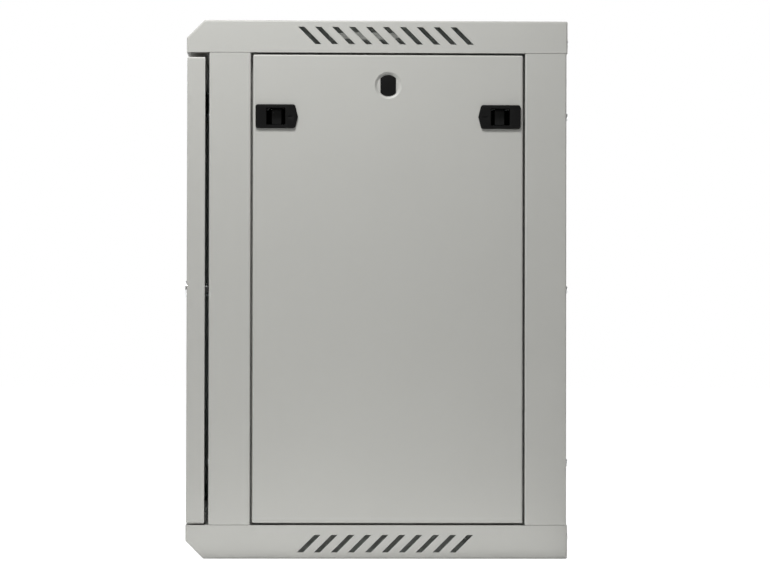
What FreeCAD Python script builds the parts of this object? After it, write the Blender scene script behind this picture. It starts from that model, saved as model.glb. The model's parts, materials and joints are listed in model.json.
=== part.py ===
"""Wall mount network cabinet for twelve rack units, 600 x 450 x 635 mm.

Right is +X seen from the door, the wall is towards +Y and up is +Z. The origin is the middle
of the four wall fixing holes, on the rear face of the back panel.
"""
import FreeCAD, Part
import math
import os
import re

from FreeCAD import Placement, Rotation, Vector
from Sketcher import Constraint

DIMENSIONS = (
    ("width", 600, "outside width of the covers"),
    ("depth", 450, "outside depth of the covers"),
    ("height", 635, "outside height"),
    ("steel", 1.2, "sheet of the covers, posts, panels and door"),
    ("bend", 0.8, "inside radius of a bend"),
    ("seam", 0.4, "open joint between a post's face and a cover"),
    ("running_gap", 0.3, "clearance between pieces that move past each other"),
    ("skirt_upper", 38, "height of the top cover's sides"),
    ("skirt_lower", 39.5, "height of the bottom cover's sides"),
    ("front_bevel", 21, "leg of the covers' 45 degree front edge"),
    ("return_lip", 16, "lip that joins a cover to the front posts"),
    ("ledge", 14, "depth of the ledges round a side opening"),
    ("ledge_lip", 12, "width of the lip on those ledges"),
    ("slot_count", 10, "vent slots in a cover's side"),
    ("slot_pitch", 20, "vent slot spacing"),
    ("slot_rise", 20.5, "height of a vent slot"),
    ("slot_width", 5, "width of a vent slot across its 45 degree sides"),
    ("slot_margin", 7.6, "vent slots to the cover's outer face"),
    ("slot_row", 235.1, "front edge to the middle of the vent slots"),
    ("fan_span", 220, "distance between the two fan positions"),
    ("fan_place", 230, "wall side to the fan positions"),
    ("fan_screws", 105, "fan screw spacing"),
    ("fan_screw_hole", 4.5, "fan screw hole"),
    ("fan_radius", 50, "radius of the fan vents"),
    ("fan_slot", 6, "width of a fan vent slot"),
    ("fan_pitch", 11, "spacing of the fan vent slots"),
    ("cable_width", 300, "cable entry width"),
    ("cable_length", 55, "cable entry front to back"),
    ("cable_place", 60, "wall side to the middle of the cable entry"),
    ("plate_overlap", 12, "cable entry plate beyond its opening"),
    ("post_width", 49.1, "face of a post"),
    ("front_return", 28, "front post's flange behind the door"),
    ("rear_return", 25, "rear post's flange against the back panel"),
    ("post_tab", 30, "post's tab inside a cover"),
    ("post_screw", 12, "screws in the post flanges to the outside"),
    ("front_screw", 21.5, "bracket screws in the front posts to the outside"),
    ("lip_screw", 9, "front cover screws to the edge of a cover's side"),
    ("cover_screw", 26, "rear cover screws to the roof or floor"),
    ("screw_shank", 4, "screw thread diameter"),
    ("screw_hole", 4.4, "clearance hole for a screw"),
    ("screw_head", 9, "screw head diameter"),
    ("screw_rise", 2, "screw head height"),
    ("cover_screw_rise", 1.2, "head height of the flatter cover screws"),
    ("screw_grip", 8, "screw length under its head"),
    ("wall_span_x", 400, "wall fixing holes, side to side"),
    ("wall_span_z", 500, "wall fixing holes, top to bottom"),
    ("wall_hole", 10, "wall fixing hole"),
    ("earth_place", 50, "earth stud to the outside"),
    ("earth_stud", 6, "earth stud diameter"),
    ("earth_length", 18, "earth stud length"),
    ("panel_gap", 2.5, "side panel to the posts"),
    ("panel_top_gap", 2.6, "side panel to the top cover"),
    ("panel_bottom_gap", 2.6, "side panel to the bottom cover"),
    ("foot_width", 30, "side panel foot"),
    ("foot_span", 200, "distance between a side panel's feet"),
    ("dimple_drop", 35.9, "dimple's centre to the side panel's top"),
    ("dimple_width", 32, "dimple diameter at the face"),
    ("dimple_floor", 26, "dimple diameter at its floor"),
    ("dimple_depth", 2, "dimple depth"),
    ("plug_width", 25.1, "plug head diameter"),
    ("plug_flats", 18.4, "plug head across its flats"),
    ("plug_head", 1.2, "plug head thickness"),
    ("plug_stem", 22.4, "plug stem diameter"),
    ("plug_stem_flats", 15.8, "plug stem across its flats"),
    ("plug_reach", 3, "plug stem behind the sheet"),
    ("latch_drop", 73, "latch centre to the side panel's top"),
    ("latch_margin", 3, "latch to the side panel's edge"),
    ("latch_length", 50, "latch over its point"),
    ("latch_height", 28.3, "latch height"),
    ("latch_point", 3.5, "length of the latch's point"),
    ("latch_proud", 3, "latch plate thickness"),
    ("latch_corner", 3, "latch plate corner radius"),
    ("latch_edge", 1, "bevel round the latch plate"),
    ("latch_socket", 24, "height of the latch body behind the sheet"),
    ("recess_place", 12.7, "latch plate's outer end to its recess"),
    ("recess_length", 22.4, "recess, front to back"),
    ("recess_height", 20.2, "recess height"),
    ("finger_place", 6.5, "recess's outer end to the finger piece"),
    ("finger_length", 11.4, "finger piece, front to back"),
    ("finger_drop", 2.5, "finger piece below the latch plate's face"),
    ("tongue_wall", 3, "thickness of the slider's tongue"),
    ("tongue_height", 18, "height of the slider's tongue"),
    ("tongue_clear", 1, "released tongue to the post's lip"),
    ("tongue_tail", 3, "tongue beyond the inner end of the recess"),
    ("door_inset", 0.5, "door's face behind the covers' front edge"),
    ("door_thickness", 21.3, "door thickness"),
    ("door_gap", 4.8, "door to the posts"),
    ("door_side", 1.5, "door's side inside the covers' side"),
    ("door_top_gap", 5.6, "door to the top cover"),
    ("door_bottom_gap", 1.7, "door to the bottom cover"),
    ("door_lip", 12, "lip round the back of the door"),
    ("window_side", 66.5, "frame beside the window"),
    ("window_end", 55, "frame above and below the window"),
    ("window_corner", 15, "window corner radius"),
    ("glass", 4, "glass thickness"),
    ("glass_overlap", 10, "glass behind the frame"),
    ("seal", 1, "foam seal thickness"),
    ("clip_count", 4, "glass clips on each side"),
    ("clip_pitch", 120, "glass clip spacing"),
    ("clip_width", 16, "glass clip width"),
    ("clip_steel", 1, "glass clip sheet"),
    ("clip_grip", 8, "glass clip over the glass"),
    ("clip_foot", 13, "glass clip foot"),
    ("clip_stud", 4, "stud under a glass clip nut"),
    ("clip_nut", 7, "glass clip nut across its flats"),
    ("clip_nut_rise", 3, "glass clip nut height"),
    ("hinge_side", 9, "hinge pin to the door's side"),
    ("hinge_depth", 10, "hinge pin to the door's face"),
    ("hinge_pin", 6, "hinge pin diameter"),
    ("pin_bevel", 0.8, "bevel on a hinge pin's end"),
    ("hinge_hold", 5, "upper hinge pin above the cover's flange"),
    ("hinge_reach", 6, "lower hinge pin above the door's flange"),
    ("hinge_rivet", 12, "lower hinge pin's head"),
    ("hinge_rivet_rise", 3, "thickness of that head"),
    ("washer_width", 14, "hinge washer diameter"),
    ("pin_shelf", 30, "spring shelf below the door's top"),
    ("pin_shelf_rise", 15, "upright of the spring shelf"),
    ("pin_shelf_width", 15, "spring shelf, side to side"),
    ("pin_shelf_depth", 14, "spring shelf, front to back"),
    ("pin_collar", 9, "collar on the upper hinge pin"),
    ("pin_collar_rise", 2, "thickness of that collar"),
    ("pin_knob", 11, "finger knob on the upper hinge pin"),
    ("pin_knob_rise", 8, "height of that knob"),
    ("spring_wire", 0.9, "hinge spring wire"),
    ("spring_turns", 6, "turns of the hinge spring"),
    ("bracket_steel", 1.5, "sheet of the depth brackets and the spring shelf"),
    ("bracket_level", 204.6, "depth brackets above and below the middle"),
    ("bracket_height", 30, "depth bracket height"),
    ("bracket_flange", 15, "depth bracket flange"),
    ("bracket_tab", 6, "bracket tab beyond its screw"),
    ("rack_units", 12, "height of the equipment space in rack units"),
    ("rack_pitch", 44.45, "one rack unit"),
    ("rack_clear", 450, "clear width between the rails"),
    ("rack_holes", 465.1, "rack hole columns, centre to centre"),
    ("rack_square", 9.5, "square rack hole"),
    ("rack_first", 6.35, "lowest hole of a rack unit"),
    ("rack_step", 15.875, "next hole of a rack unit"),
    ("rail_steel", 2, "rail sheet"),
    ("rail_face", 20, "rail's equipment flange"),
    ("rail_web", 40, "rail's side flange"),
    ("rail_margin", 3.3, "rail beyond the rack units"),
    ("rail_front", 31, "front posts to the front rails"),
    ("rail_rear", 80, "back panel to the rear rails"),
    ("rail_bolt_place", 25, "rail's face to its bolts"),
    ("rail_out", 20, "rail travel towards its own end of the cabinet"),
    ("rail_in", 60, "rail travel towards the middle"),
    ("bolt", 6, "rail bolt diameter"),
    ("bolt_hole", 6.6, "clearance hole or slot for a rail bolt"),
    ("bolt_head", 10, "rail bolt head and nut across the flats"),
    ("bolt_head_rise", 4, "rail bolt head height"),
    ("nut_rise", 5, "rail bolt nut height"),
    ("bolt_end", 1, "rail bolt beyond its nut"),
    ("close_fit", 0.05, "gap between a bolt and its nut, or a plug and its hole"),
    ("lock_place", 38.5, "lock centre to the door's side"),
    ("lock_head", 20, "lock head diameter"),
    ("lock_proud", 2.4, "lock head in front of the door"),
    ("lock_edge", 0.8, "bevel round the lock head"),
    ("lock_barrel", 16, "lock barrel diameter"),
    ("lock_rotor", 11, "lock rotor diameter"),
    ("rotor_recess", 0.4, "rotor behind the lock head's face"),
    ("key_slot", 6.5, "key slot length"),
    ("key_slot_width", 1.6, "key slot width"),
    ("key_slot_depth", 6, "key slot depth"),
    ("lock_nut", 22, "lock nut across its flats"),
    ("lock_nut_rise", 4, "lock nut height"),
    ("cam_clear", 1.6, "lock cam behind the post's flange"),
    ("cam_steel", 2.5, "lock cam thickness"),
    ("cam_width", 16, "lock cam width"),
    ("cam_reach", 33, "lock cam beyond the lock's centre"),
    ("cam_corner", 4, "lock cam corner radius"),
    ("cam_square", 7, "square tail that turns the cam"),
    ("cam_screw_rise", 2, "cam screw head height"),
)

doc = FreeCAD.newDocument("wall_mount_cabinet")
sheet = doc.addObject("Spreadsheet::Sheet", "dims")
for row, (alias, size, meaning) in enumerate(DIMENSIONS, 1):
    sheet.set(f"A{row}", meaning)
    sheet.set(f"B{row}", str(size))
    sheet.setAlias(f"B{row}", alias)
doc.recompute()

ALIASES = {alias for alias, size, meaning in DIMENSIONS}

# Places that several pieces share, as formulas of the driving dimensions.
HALF = "(width / 2)"
COVER_REAR = "(2 * steel)"
FRONT = "(2 * steel - depth)"
OPENING_TOP = "(height / 2 - skirt_upper)"
OPENING_BOTTOM = "(skirt_lower - height / 2)"
DOOR_FRONT = f"({FRONT} + door_inset)"
DOOR_BACK = f"({DOOR_FRONT} + door_thickness)"
DOOR_HALF = f"({HALF} - door_side)"
DOOR_TOP = f"({OPENING_TOP} - door_top_gap)"
DOOR_BOTTOM = f"({OPENING_BOTTOM} + door_bottom_gap)"
POST_FRONT = f"({DOOR_BACK} + door_gap)"
POST_SCREW = f"({HALF} - post_screw)"
FRONT_SCREW = f"({HALF} - front_screw)"
TAB_EDGE = f"({HALF} - 2 * steel - bend)"
SIDE_FRONT = f"({POST_FRONT} + post_width)"
SIDE_REAR = "(steel - post_width)"
PANEL_FRONT = f"({SIDE_FRONT} + panel_gap)"
PANEL_REAR = f"({SIDE_REAR} - panel_gap)"
PANEL_MIDDLE = f"(({PANEL_FRONT} + {PANEL_REAR}) / 2)"
PANEL_TOP = f"({OPENING_TOP} - panel_top_gap)"
PANEL_BOTTOM = f"({OPENING_BOTTOM} + panel_bottom_gap)"
PANEL_BACK = f"({HALF} - ledge + running_gap)"
LIP_BACK = f"({HALF} - ledge - steel)"
DIMPLE_Z = f"({PANEL_TOP} - dimple_drop)"
LATCH_Y = f"({PANEL_FRONT} + latch_margin)"
LATCH_Z = f"({PANEL_TOP} - latch_drop)"
HINGE_X = f"({DOOR_HALF} - hinge_side)"
HINGE_Y = f"({DOOR_FRONT} + hinge_depth)"
SHELF_TOP = f"({DOOR_TOP} - pin_shelf + bracket_steel)"
COLLAR_TOP = f"({DOOR_TOP} - steel - running_gap)"
RAIL_WEB = "(rack_clear / 2 + rail_face)"
BRACKET_X = f"({RAIL_WEB} + running_gap)"
RAIL_FRONT = f"({POST_FRONT} + rail_front)"
RACK_HALF = "(rack_units * rack_pitch / 2)"
LOCK_X = f"({DOOR_HALF} - lock_place)"
CAM_FRONT = f"({POST_FRONT} + steel + cam_clear)"
GLASS_X = f"({DOOR_HALF} - window_side + glass_overlap)"
GLASS_TOP = f"({DOOR_TOP} - window_end + glass_overlap)"
GLASS_BOTTOM = f"({DOOR_BOTTOM} + window_end - glass_overlap)"
GLASS_FRONT = f"({DOOR_FRONT} + steel + seal)"

# A plane's two sketch directions and the direction that it is extruded along.
PLANE_AXES = {"XY_Plane": (0, 1, 2), "XZ_Plane": (0, 2, 1), "YZ_Plane": (1, 2, 0)}
TOUCH = 1e-4

pieces = []


def bound(formula):
    """Points each dimension's name in a formula at its cell."""
    return re.sub(r"[a-z_]+", lambda word: f"dims.{word[0]}" if word[0] in ALIASES else word[0], formula)


def size_of(formula):
    return float(sheet.evalExpression(bound(formula)))


def new_body(label):
    body = doc.addObject("PartDesign::Body", label)
    body.Label = label
    pieces.append(body)
    return body


def origin_feature(body, role):
    return next(feature for feature in body.Origin.OriginFeatures if feature.Role == role)


def bind_point(sketch, geometry, vertex, place):
    """Ties a point of the sketch to a pair of formulas."""
    for kind, formula in zip(("DistanceX", "DistanceY"), place):
        index = sketch.addConstraint(Constraint(kind, -1, 1, geometry, vertex, size_of(formula)))
        sketch.setExpression(f"Constraints[{index}]", bound(formula))


def bind_diameter(sketch, geometry, diameter):
    index = sketch.addConstraint(Constraint("Diameter", geometry, size_of(diameter)))
    sketch.setExpression(f"Constraints[{index}]", bound(diameter))


def polygon(*corners):
    def draw(sketch):
        points = [Vector(size_of(u), size_of(v), 0) for u, v in corners]
        first = sketch.GeometryCount
        following = points[1:] + points[:1]
        sketch.addGeometry([Part.LineSegment(a, b) for a, b in zip(points, following)])
        count = len(points)
        for side in range(count):
            joint = Constraint("Coincident", first + side, 2, first + (side + 1) % count, 1)
            sketch.addConstraint(joint)
        for side, corner in enumerate(corners):
            bind_point(sketch, first + side, 1, corner)
    return draw


def rectangle(low_u, low_v, high_u, high_v):
    return polygon((low_u, low_v), (high_u, low_v), (high_u, high_v), (low_u, high_v))


def centred(u, v, length, height):
    """A rectangle around its middle."""
    return rectangle(f"{u} - {length} / 2", f"{v} - {height} / 2",
                     f"{u} + {length} / 2", f"{v} + {height} / 2")


def hexagon(u, v, across):
    return polygon(*((f"{u} + {across} / sqrt(3) * cos({turn})", f"{v} + {across} / sqrt(3) * sin({turn})")
                     for turn in range(0, 360, 60)))


def circle(u, v, diameter):
    def draw(sketch):
        centre = Vector(size_of(u), size_of(v), 0)
        index = sketch.addGeometry(Part.Circle(centre, Vector(0, 0, 1), size_of(diameter) / 2))
        bind_point(sketch, index, 3, (u, v))
        bind_diameter(sketch, index, diameter)
    return draw


def slot(u, v, length, width, upright=False):
    """A round-ended slot along the sketch's first direction, or along its second when upright."""
    reach = f"({length} - {width}) / 2"
    if upright:
        ends = (u, f"{v} - {reach}"), (u, f"{v} + {reach}")
    else:
        ends = (f"{u} - {reach}", v), (f"{u} + {reach}", v)

    def draw(sketch):
        half_width = size_of(width) / 2
        quarter = math.pi / 2
        turn = quarter if upright else 0
        across = Vector(-math.sin(turn), math.cos(turn), 0) * half_width
        low, high = (Vector(size_of(x), size_of(y), 0) for x, y in ends)
        axis = Vector(0, 0, 1)
        first = sketch.GeometryCount
        sketch.addGeometry([
            Part.ArcOfCircle(Part.Circle(low, axis, half_width), turn + quarter, turn + 3 * quarter),
            Part.ArcOfCircle(Part.Circle(high, axis, half_width), turn - quarter, turn + quarter),
            Part.LineSegment(low - across, high - across),
            Part.LineSegment(high + across, low + across)])
        low_end, high_end, below, above = range(first, first + 4)
        sketch.addConstraint([
            Constraint("Tangent", low_end, 2, below, 1), Constraint("Tangent", below, 2, high_end, 1),
            Constraint("Tangent", high_end, 2, above, 1), Constraint("Tangent", above, 2, low_end, 1)])
        for end, place in zip((low_end, high_end), ends):
            bind_point(sketch, end, 3, place)
            bind_diameter(sketch, end, width)
    return draw


def double_d(u, v, diameter, flats):
    """A circle cut by two upright flats."""
    def draw(sketch):
        radius = size_of(diameter) / 2
        half_flats = size_of(flats) / 2
        start = math.acos(half_flats / radius)
        centre = Vector(size_of(u), size_of(v), 0)
        round_form = Part.Circle(centre, Vector(0, 0, 1), radius)
        side = Vector(half_flats, 0, 0)
        up = Vector(0, radius * math.sin(start), 0)
        first = sketch.GeometryCount
        sketch.addGeometry([
            Part.ArcOfCircle(round_form, start, math.pi - start),
            Part.LineSegment(centre - side + up, centre - side - up),
            Part.ArcOfCircle(round_form, math.pi + start, 2 * math.pi - start),
            Part.LineSegment(centre + side - up, centre + side + up)])
        for index in range(4):
            sketch.addConstraint(Constraint("Coincident", first + index, 2, first + (index + 1) % 4, 1))
        above, left, below, right = range(first, first + 4)
        sketch.addConstraint([Constraint("Coincident", above, 3, below, 3), Constraint("Vertical", left),
                              Constraint("Vertical", right)])
        bind_point(sketch, above, 3, (u, v))
        bind_diameter(sketch, above, diameter)
        for line, formula in ((left, f"{u} - {flats} / 2"), (right, f"{u} + {flats} / 2")):
            index = sketch.addConstraint(Constraint("DistanceX", -1, 1, line, 1, size_of(formula)))
            sketch.setExpression(f"Constraints[{index}]", bound(formula))
    return draw


def new_sketch(body, name, plane, level, loops, origin=("0", "0")):
    """A sketch on one of the body's planes, moved to a level along that plane's axis."""
    sketch = body.newObject("Sketcher::SketchObject", f"{name}Sketch")
    sketch.AttachmentSupport = [(origin_feature(body, plane), "")]
    sketch.MapMode = "FlatFace"
    lift = f"-({level})" if plane == "XZ_Plane" else level
    for axis, formula in zip("xyz", (*origin, lift)):
        sketch.setExpression(f"AttachmentOffset.Base.{axis}", bound(formula))
    for draw in loops:
        draw(sketch)
    return sketch


def add(body, name, plane, low, high, *loops):
    """Pads the loops between two levels."""
    level = high if plane == "XZ_Plane" else low
    pad = body.newObject("PartDesign::Pad", name)
    pad.Profile = new_sketch(body, name, plane, level, loops)
    pad.setExpression("Length", bound(f"{high} - ({low})"))
    doc.recompute()
    return pad


def check_cut(body, name, before):
    doc.recompute()
    if not body.Shape.Volume < before - TOUCH:
        raise RuntimeError(f"{body.Label}: {name} cuts nothing")


def cut(body, name, plane, low, high, *loops):
    """Pockets the loops between two levels."""
    before = body.Shape.Volume
    level = low if plane == "XZ_Plane" else high
    pocket = body.newObject("PartDesign::Pocket", name)
    pocket.Profile = new_sketch(body, name, plane, level, loops)
    pocket.setExpression("Length", bound(f"{high} - ({low})"))
    check_cut(body, name, before)
    return pocket


def turned(body, name, plane, level, origin, axis, *loops):
    """Revolves the loops about an axis of the sketch."""
    revolution = body.newObject("PartDesign::Revolution", name)
    profile = new_sketch(body, name, plane, level, loops, origin)
    revolution.Profile = profile
    revolution.ReferenceAxis = (profile, [axis])
    revolution.Angle = 360
    doc.recompute()
    return revolution


def turned_cut(body, name, plane, level, origin, axis, *loops):
    before = body.Shape.Volume
    groove = body.newObject("PartDesign::Groove", name)
    profile = new_sketch(body, name, plane, level, loops, origin)
    groove.Profile = profile
    groove.ReferenceAxis = (profile, [axis])
    groove.Angle = 360
    check_cut(body, name, before)
    return groove


def repeat(body, originals, name, *runs):
    """Copies features along one or two axes: each run is an axis, a spacing and a count."""
    pattern = body.newObject("PartDesign::LinearPattern", name)
    pattern.Originals = originals
    for suffix, (axis, spacing, count) in zip(("", "2"), runs):
        setattr(pattern, f"Direction{suffix}", (origin_feature(body, axis), [""]))
        pattern.setExpression(f"Length{suffix}", bound(f"{spacing} * ({count} - 1)"))
        pattern.setExpression(f"Occurrences{suffix}", bound(count))
    body.Tip = pattern
    doc.recompute()
    return pattern


def dress(body, kind, name, size_name, size, chosen):
    """Adds a Fillet or Chamfer to the edges of the body that chosen picks."""
    base = body.Tip
    edges = [f"Edge{number}" for number, edge in enumerate(base.Shape.Edges, 1) if chosen(edge)]
    feature = body.newObject(f"PartDesign::{kind}", name)
    feature.Base = (base, edges)
    feature.setExpression(size_name, bound(size))
    doc.recompute()
    return feature


def round_edges(body, name, radius, chosen):
    return dress(body, "Fillet", name, "Radius", radius, chosen)


def bevel_edges(body, name, leg, chosen):
    return dress(body, "Chamfer", name, "Size", leg, chosen)


def near(a, b):
    return abs(a - b) < TOUCH


def along(plane, *places):
    """Picks the edges that run along a plane's axis through the given places."""
    u_axis, v_axis, run = PLANE_AXES[plane]
    spots = [(size_of(u), size_of(v)) for u, v in places]

    def chosen(edge):
        points = [vertex.Point for vertex in edge.Vertexes]
        return len(points) == 2 and any(
            all(near(point[u_axis], u) and near(point[v_axis], v) for point in points) for u, v in spots)
    return chosen


def off_face(axis, level):
    """Picks every edge that doesn't lie in one flat face across an axis."""
    place = size_of(level)
    return lambda edge: not all(near(vertex.Point[axis], place) for vertex in edge.Vertexes)


def on_face(axis, level):
    place = size_of(level)
    return lambda edge: all(near(vertex.Point[axis], place) for vertex in edge.Vertexes)


def fold(body, name, plane, low, high, wall, path, left=True):
    """Pads a sheet folded at right angles, with its bends rounded.

    The path runs along one surface of the sheet, and the sheet lies to its left or its right.
    """
    points = [(size_of(u), size_of(v)) for u, v in path]
    steps = [(b[0] - a[0], b[1] - a[1]) for a, b in zip(points, points[1:])]
    headings = [(step[0] / math.hypot(*step), step[1] / math.hypot(*step)) for step in steps]
    hand = 1 if left else -1
    normals = [(round(-hand * v), round(hand * u)) for u, v in headings]
    other_side = []
    for index, (u, v) in enumerate(path):
        sides = set(normals[max(index - 1, 0):index + 1])
        shift_u, shift_v = (sum(parts) for parts in zip(*sides))
        other_side.append((f"{u} + {shift_u} * {wall}", f"{v} + {shift_v} * {wall}"))
    add(body, name, plane, low, high, polygon(*path, *reversed(other_side)))
    outside, inside = [], []
    for index in range(1, len(path) - 1):
        before, after = headings[index - 1], headings[index]
        towards_sheet = (before[0] * after[1] - before[1] * after[0]) * hand > 0
        outside.append(path[index] if towards_sheet else other_side[index])
        inside.append(other_side[index] if towards_sheet else path[index])
    round_edges(body, f"{name}Outside", f"bend + {wall}", along(plane, *outside))
    round_edges(body, f"{name}Inside", "bend", along(plane, *inside))


def mirror_image(label, source, axis, plane="0"):
    """The opposite-hand piece, mirrored in a plane across an axis."""
    image = doc.addObject("Part::Mirroring", label)
    image.Label = label
    image.Source = source
    image.Normal = Vector(axis == "x", axis == "y", axis == "z")
    image.setExpression(f"Base.{axis}", bound(plane))
    pieces.append(image)
    return image


def screw_set(label, x, face, level, outward, rise, *runs):
    """Pan head screws whose heads stand on a face across Y, on the side that outward gives."""
    body = new_body(label)
    head = turned(body, "Screw", "XY_Plane", level, (x, face), "V_Axis", polygon(
        ("0", f"{-outward} * screw_grip"), ("screw_shank / 2", f"{-outward} * screw_grip"),
        ("screw_shank / 2", "0"), ("screw_head / 2", "0"), ("screw_head / 2", f"{outward} * {rise} / 2"),
        ("screw_head / 2 - screw_rise / 2", f"{outward} * {rise}"), ("0", f"{outward} * {rise}")))
    repeat(body, [head], "Places", *runs)
    return body


# ---------------------------------------------------------------- covers

PLATE_SCREW_X = "(cable_width / 2 + plate_overlap / 2)"
PLATE_SCREW_RUN = "(cable_length + plate_overlap)"


def plate_screw_circles(diameter):
    return [circle(f"{x} * {PLATE_SCREW_X}", f"-cable_place + {y} * {PLATE_SCREW_RUN} / 2", diameter)
            for x in (-1, 1) for y in (-1, 1)]


def cover(label, skirt, hinge_hand):
    """A bent tray with its outer face at Z 0, open downwards, as the roof lies."""
    body = new_body(label)
    inner = f"({HALF} - steel)"
    corner = "(front_bevel + steel * tan(22.5))"
    add(body, "Tray", "YZ_Plane", f"-{HALF}", HALF, polygon(
        (FRONT, f"-{skirt}"), (FRONT, "-front_bevel"), (f"{FRONT} + front_bevel", "0"),
        (COVER_REAR, "0"), (COVER_REAR, f"-{skirt}")))
    round_edges(body, "TrayBends", "bend + steel", off_face(2, f"-{skirt}"))
    cut(body, "Hollow", "YZ_Plane", f"-{inner}", inner, polygon(
        (f"{FRONT} + steel", f"-{skirt}"), (f"{FRONT} + steel", f"-{corner}"),
        (f"{FRONT} + {corner}", "-steel"), (f"{COVER_REAR} - steel", "-steel"),
        (f"{COVER_REAR} - steel", f"-{skirt}")))
    fold(body, "FrontReturn", "YZ_Plane", f"-{inner}", inner, "steel", (
        (f"{FRONT} + steel", f"-{skirt}"), (POST_FRONT, f"-{skirt}"), (POST_FRONT, f"-{skirt} + return_lip")))
    for name, hand in (("Right", 1), ("Left", -1)):
        fold(body, f"{name}Ledge", "XZ_Plane", f"{SIDE_FRONT} + ledge_lip + running_gap",
             f"{SIDE_REAR} - ledge_lip - running_gap", "steel", (
                 (f"{hand} * {inner}", f"-{skirt}"), (f"{hand} * ({HALF} - ledge)", f"-{skirt}"),
                 (f"{hand} * ({HALF} - ledge)", f"-{skirt} - ledge_lip")), left=hand < 0)
    first_slot = f"({FRONT} + slot_row - slot_pitch * (slot_count - 1) / 2)"
    upper, lower = f"({first_slot} - slot_rise / 2)", f"({first_slot} + slot_rise / 2)"
    vent = cut(body, "Vent", "YZ_Plane", f"-{HALF} - steel", f"{HALF} + steel", polygon(
        (f"{upper} - slot_width / sqrt(2)", "-slot_margin"),
        (f"{upper} + slot_width / sqrt(2)", "-slot_margin"),
        (f"{lower} + slot_width / sqrt(2)", "-slot_margin - slot_rise"),
        (f"{lower} - slot_width / sqrt(2)", "-slot_margin - slot_rise")))
    repeat(body, [vent], "Vents", ("Y_Axis", "slot_pitch", "slot_count"))
    cut(body, "RearScrewHoles", "XZ_Plane", "steel", COVER_REAR,
        *(circle(f"{hand} * {POST_SCREW}", "-cover_screw", "screw_hole") for hand in (1, -1)))
    cut(body, "FrontScrewHoles", "XZ_Plane", f"{POST_FRONT} - steel", POST_FRONT,
        *(circle(f"{hand} * {POST_SCREW}", f"-{skirt} + lip_screw", "screw_hole") for hand in (1, -1)))
    cut(body, "HingeHole", "XY_Plane", f"-{skirt}", f"-{skirt} + steel",
        circle(f"{hinge_hand} * {HINGE_X}", HINGE_Y, "hinge_pin + 2 * running_gap"))
    cut(body, "CableEntry", "XY_Plane", "-steel", "0",
        centred("0", "-cable_place", "cable_width", "cable_length"),
        *plate_screw_circles("screw_shank + 2 * close_fit"))
    return body


def fan_vents(body):
    """Two fan positions in the roof: parallel vent slots in a circle, and four screw holes."""
    for name, hand in (("Right", 1), ("Left", -1)):
        middle = f"({hand} * fan_span / 2)"
        slots = [slot(f"{middle} + {step} * fan_pitch", "-fan_place",
                      f"2 * sqrt(fan_radius ^ 2 - ({step} * fan_pitch) ^ 2)", "fan_slot", upright=True)
                 for step in range(-4, 5)]
        screws = [circle(f"{middle} + {x} * fan_screws / 2",
                         f"-fan_place + {y} * fan_screws / 2", "fan_screw_hole")
                  for x in (-1, 1) for y in (-1, 1)]
        cut(body, f"{name}FanVents", "XY_Plane", "-steel", "0", *slots, *screws)


top_cover = cover("top_cover", "skirt_upper", -1)
fan_vents(top_cover)
top_cover.setExpression("Placement.Base.z", bound("height / 2"))

bottom_cover = cover("bottom_cover", "skirt_lower", 1)
bottom_cover.Placement = Placement(Vector(0, 0, 0), Rotation(Vector(0, 1, 0), 180))
bottom_cover.setExpression("Placement.Base.z", bound("-height / 2"))

for label, low, high in (("cable_plate_top", "height / 2 - 2 * steel", "height / 2 - steel"),
                         ("cable_plate_bottom", "steel - height / 2", "2 * steel - height / 2")):
    plate = new_body(label)
    add(plate, "Sheet", "XY_Plane", low, high, centred(
        "0", "-cable_place", "(cable_width + 2 * plate_overlap)", "(cable_length + 2 * plate_overlap)"),
        *plate_screw_circles("screw_hole"))

plate_screws = new_body("cable_plate_screws")
threaded = "(2 * steel - running_gap)"
ends = [turned(plate_screws, name, "XZ_Plane", f"-cable_place - {PLATE_SCREW_RUN} / 2",
               (f"-{PLATE_SCREW_X}", f"{hand} * (height / 2 - 2 * steel)"), "V_Axis", polygon(
                   ("0", f"{hand} * {threaded}"), ("screw_shank / 2", f"{hand} * {threaded}"),
                   ("screw_shank / 2", "0"), ("screw_head / 2", "0"),
                   ("screw_head / 2", f"{-hand} * screw_rise / 2"),
                   ("screw_head / 2 - screw_rise / 2", f"{-hand} * screw_rise"),
                   ("0", f"{-hand} * screw_rise")))
        for name, hand in (("UpperScrew", 1), ("LowerScrew", -1))]
repeat(plate_screws, ends, "Places",
       ("X_Axis", f"2 * {PLATE_SCREW_X}", "2"), ("Y_Axis", PLATE_SCREW_RUN, "2"))

# ---------------------------------------------------------------- posts and back panel

lower_end, upper_end = f"({OPENING_BOTTOM} - post_tab)", f"({OPENING_TOP} + post_tab)"


def trim_post(body, *outline):
    """Leaves only the flat tabs where a post passes inside the covers."""
    cut(body, "UpperTab", "XY_Plane", f"{OPENING_TOP} - seam", f"{upper_end} + steel", polygon(*outline))
    cut(body, "LowerTab", "XY_Plane", f"{lower_end} - steel", f"{OPENING_BOTTOM} + seam", polygon(*outline))


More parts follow.
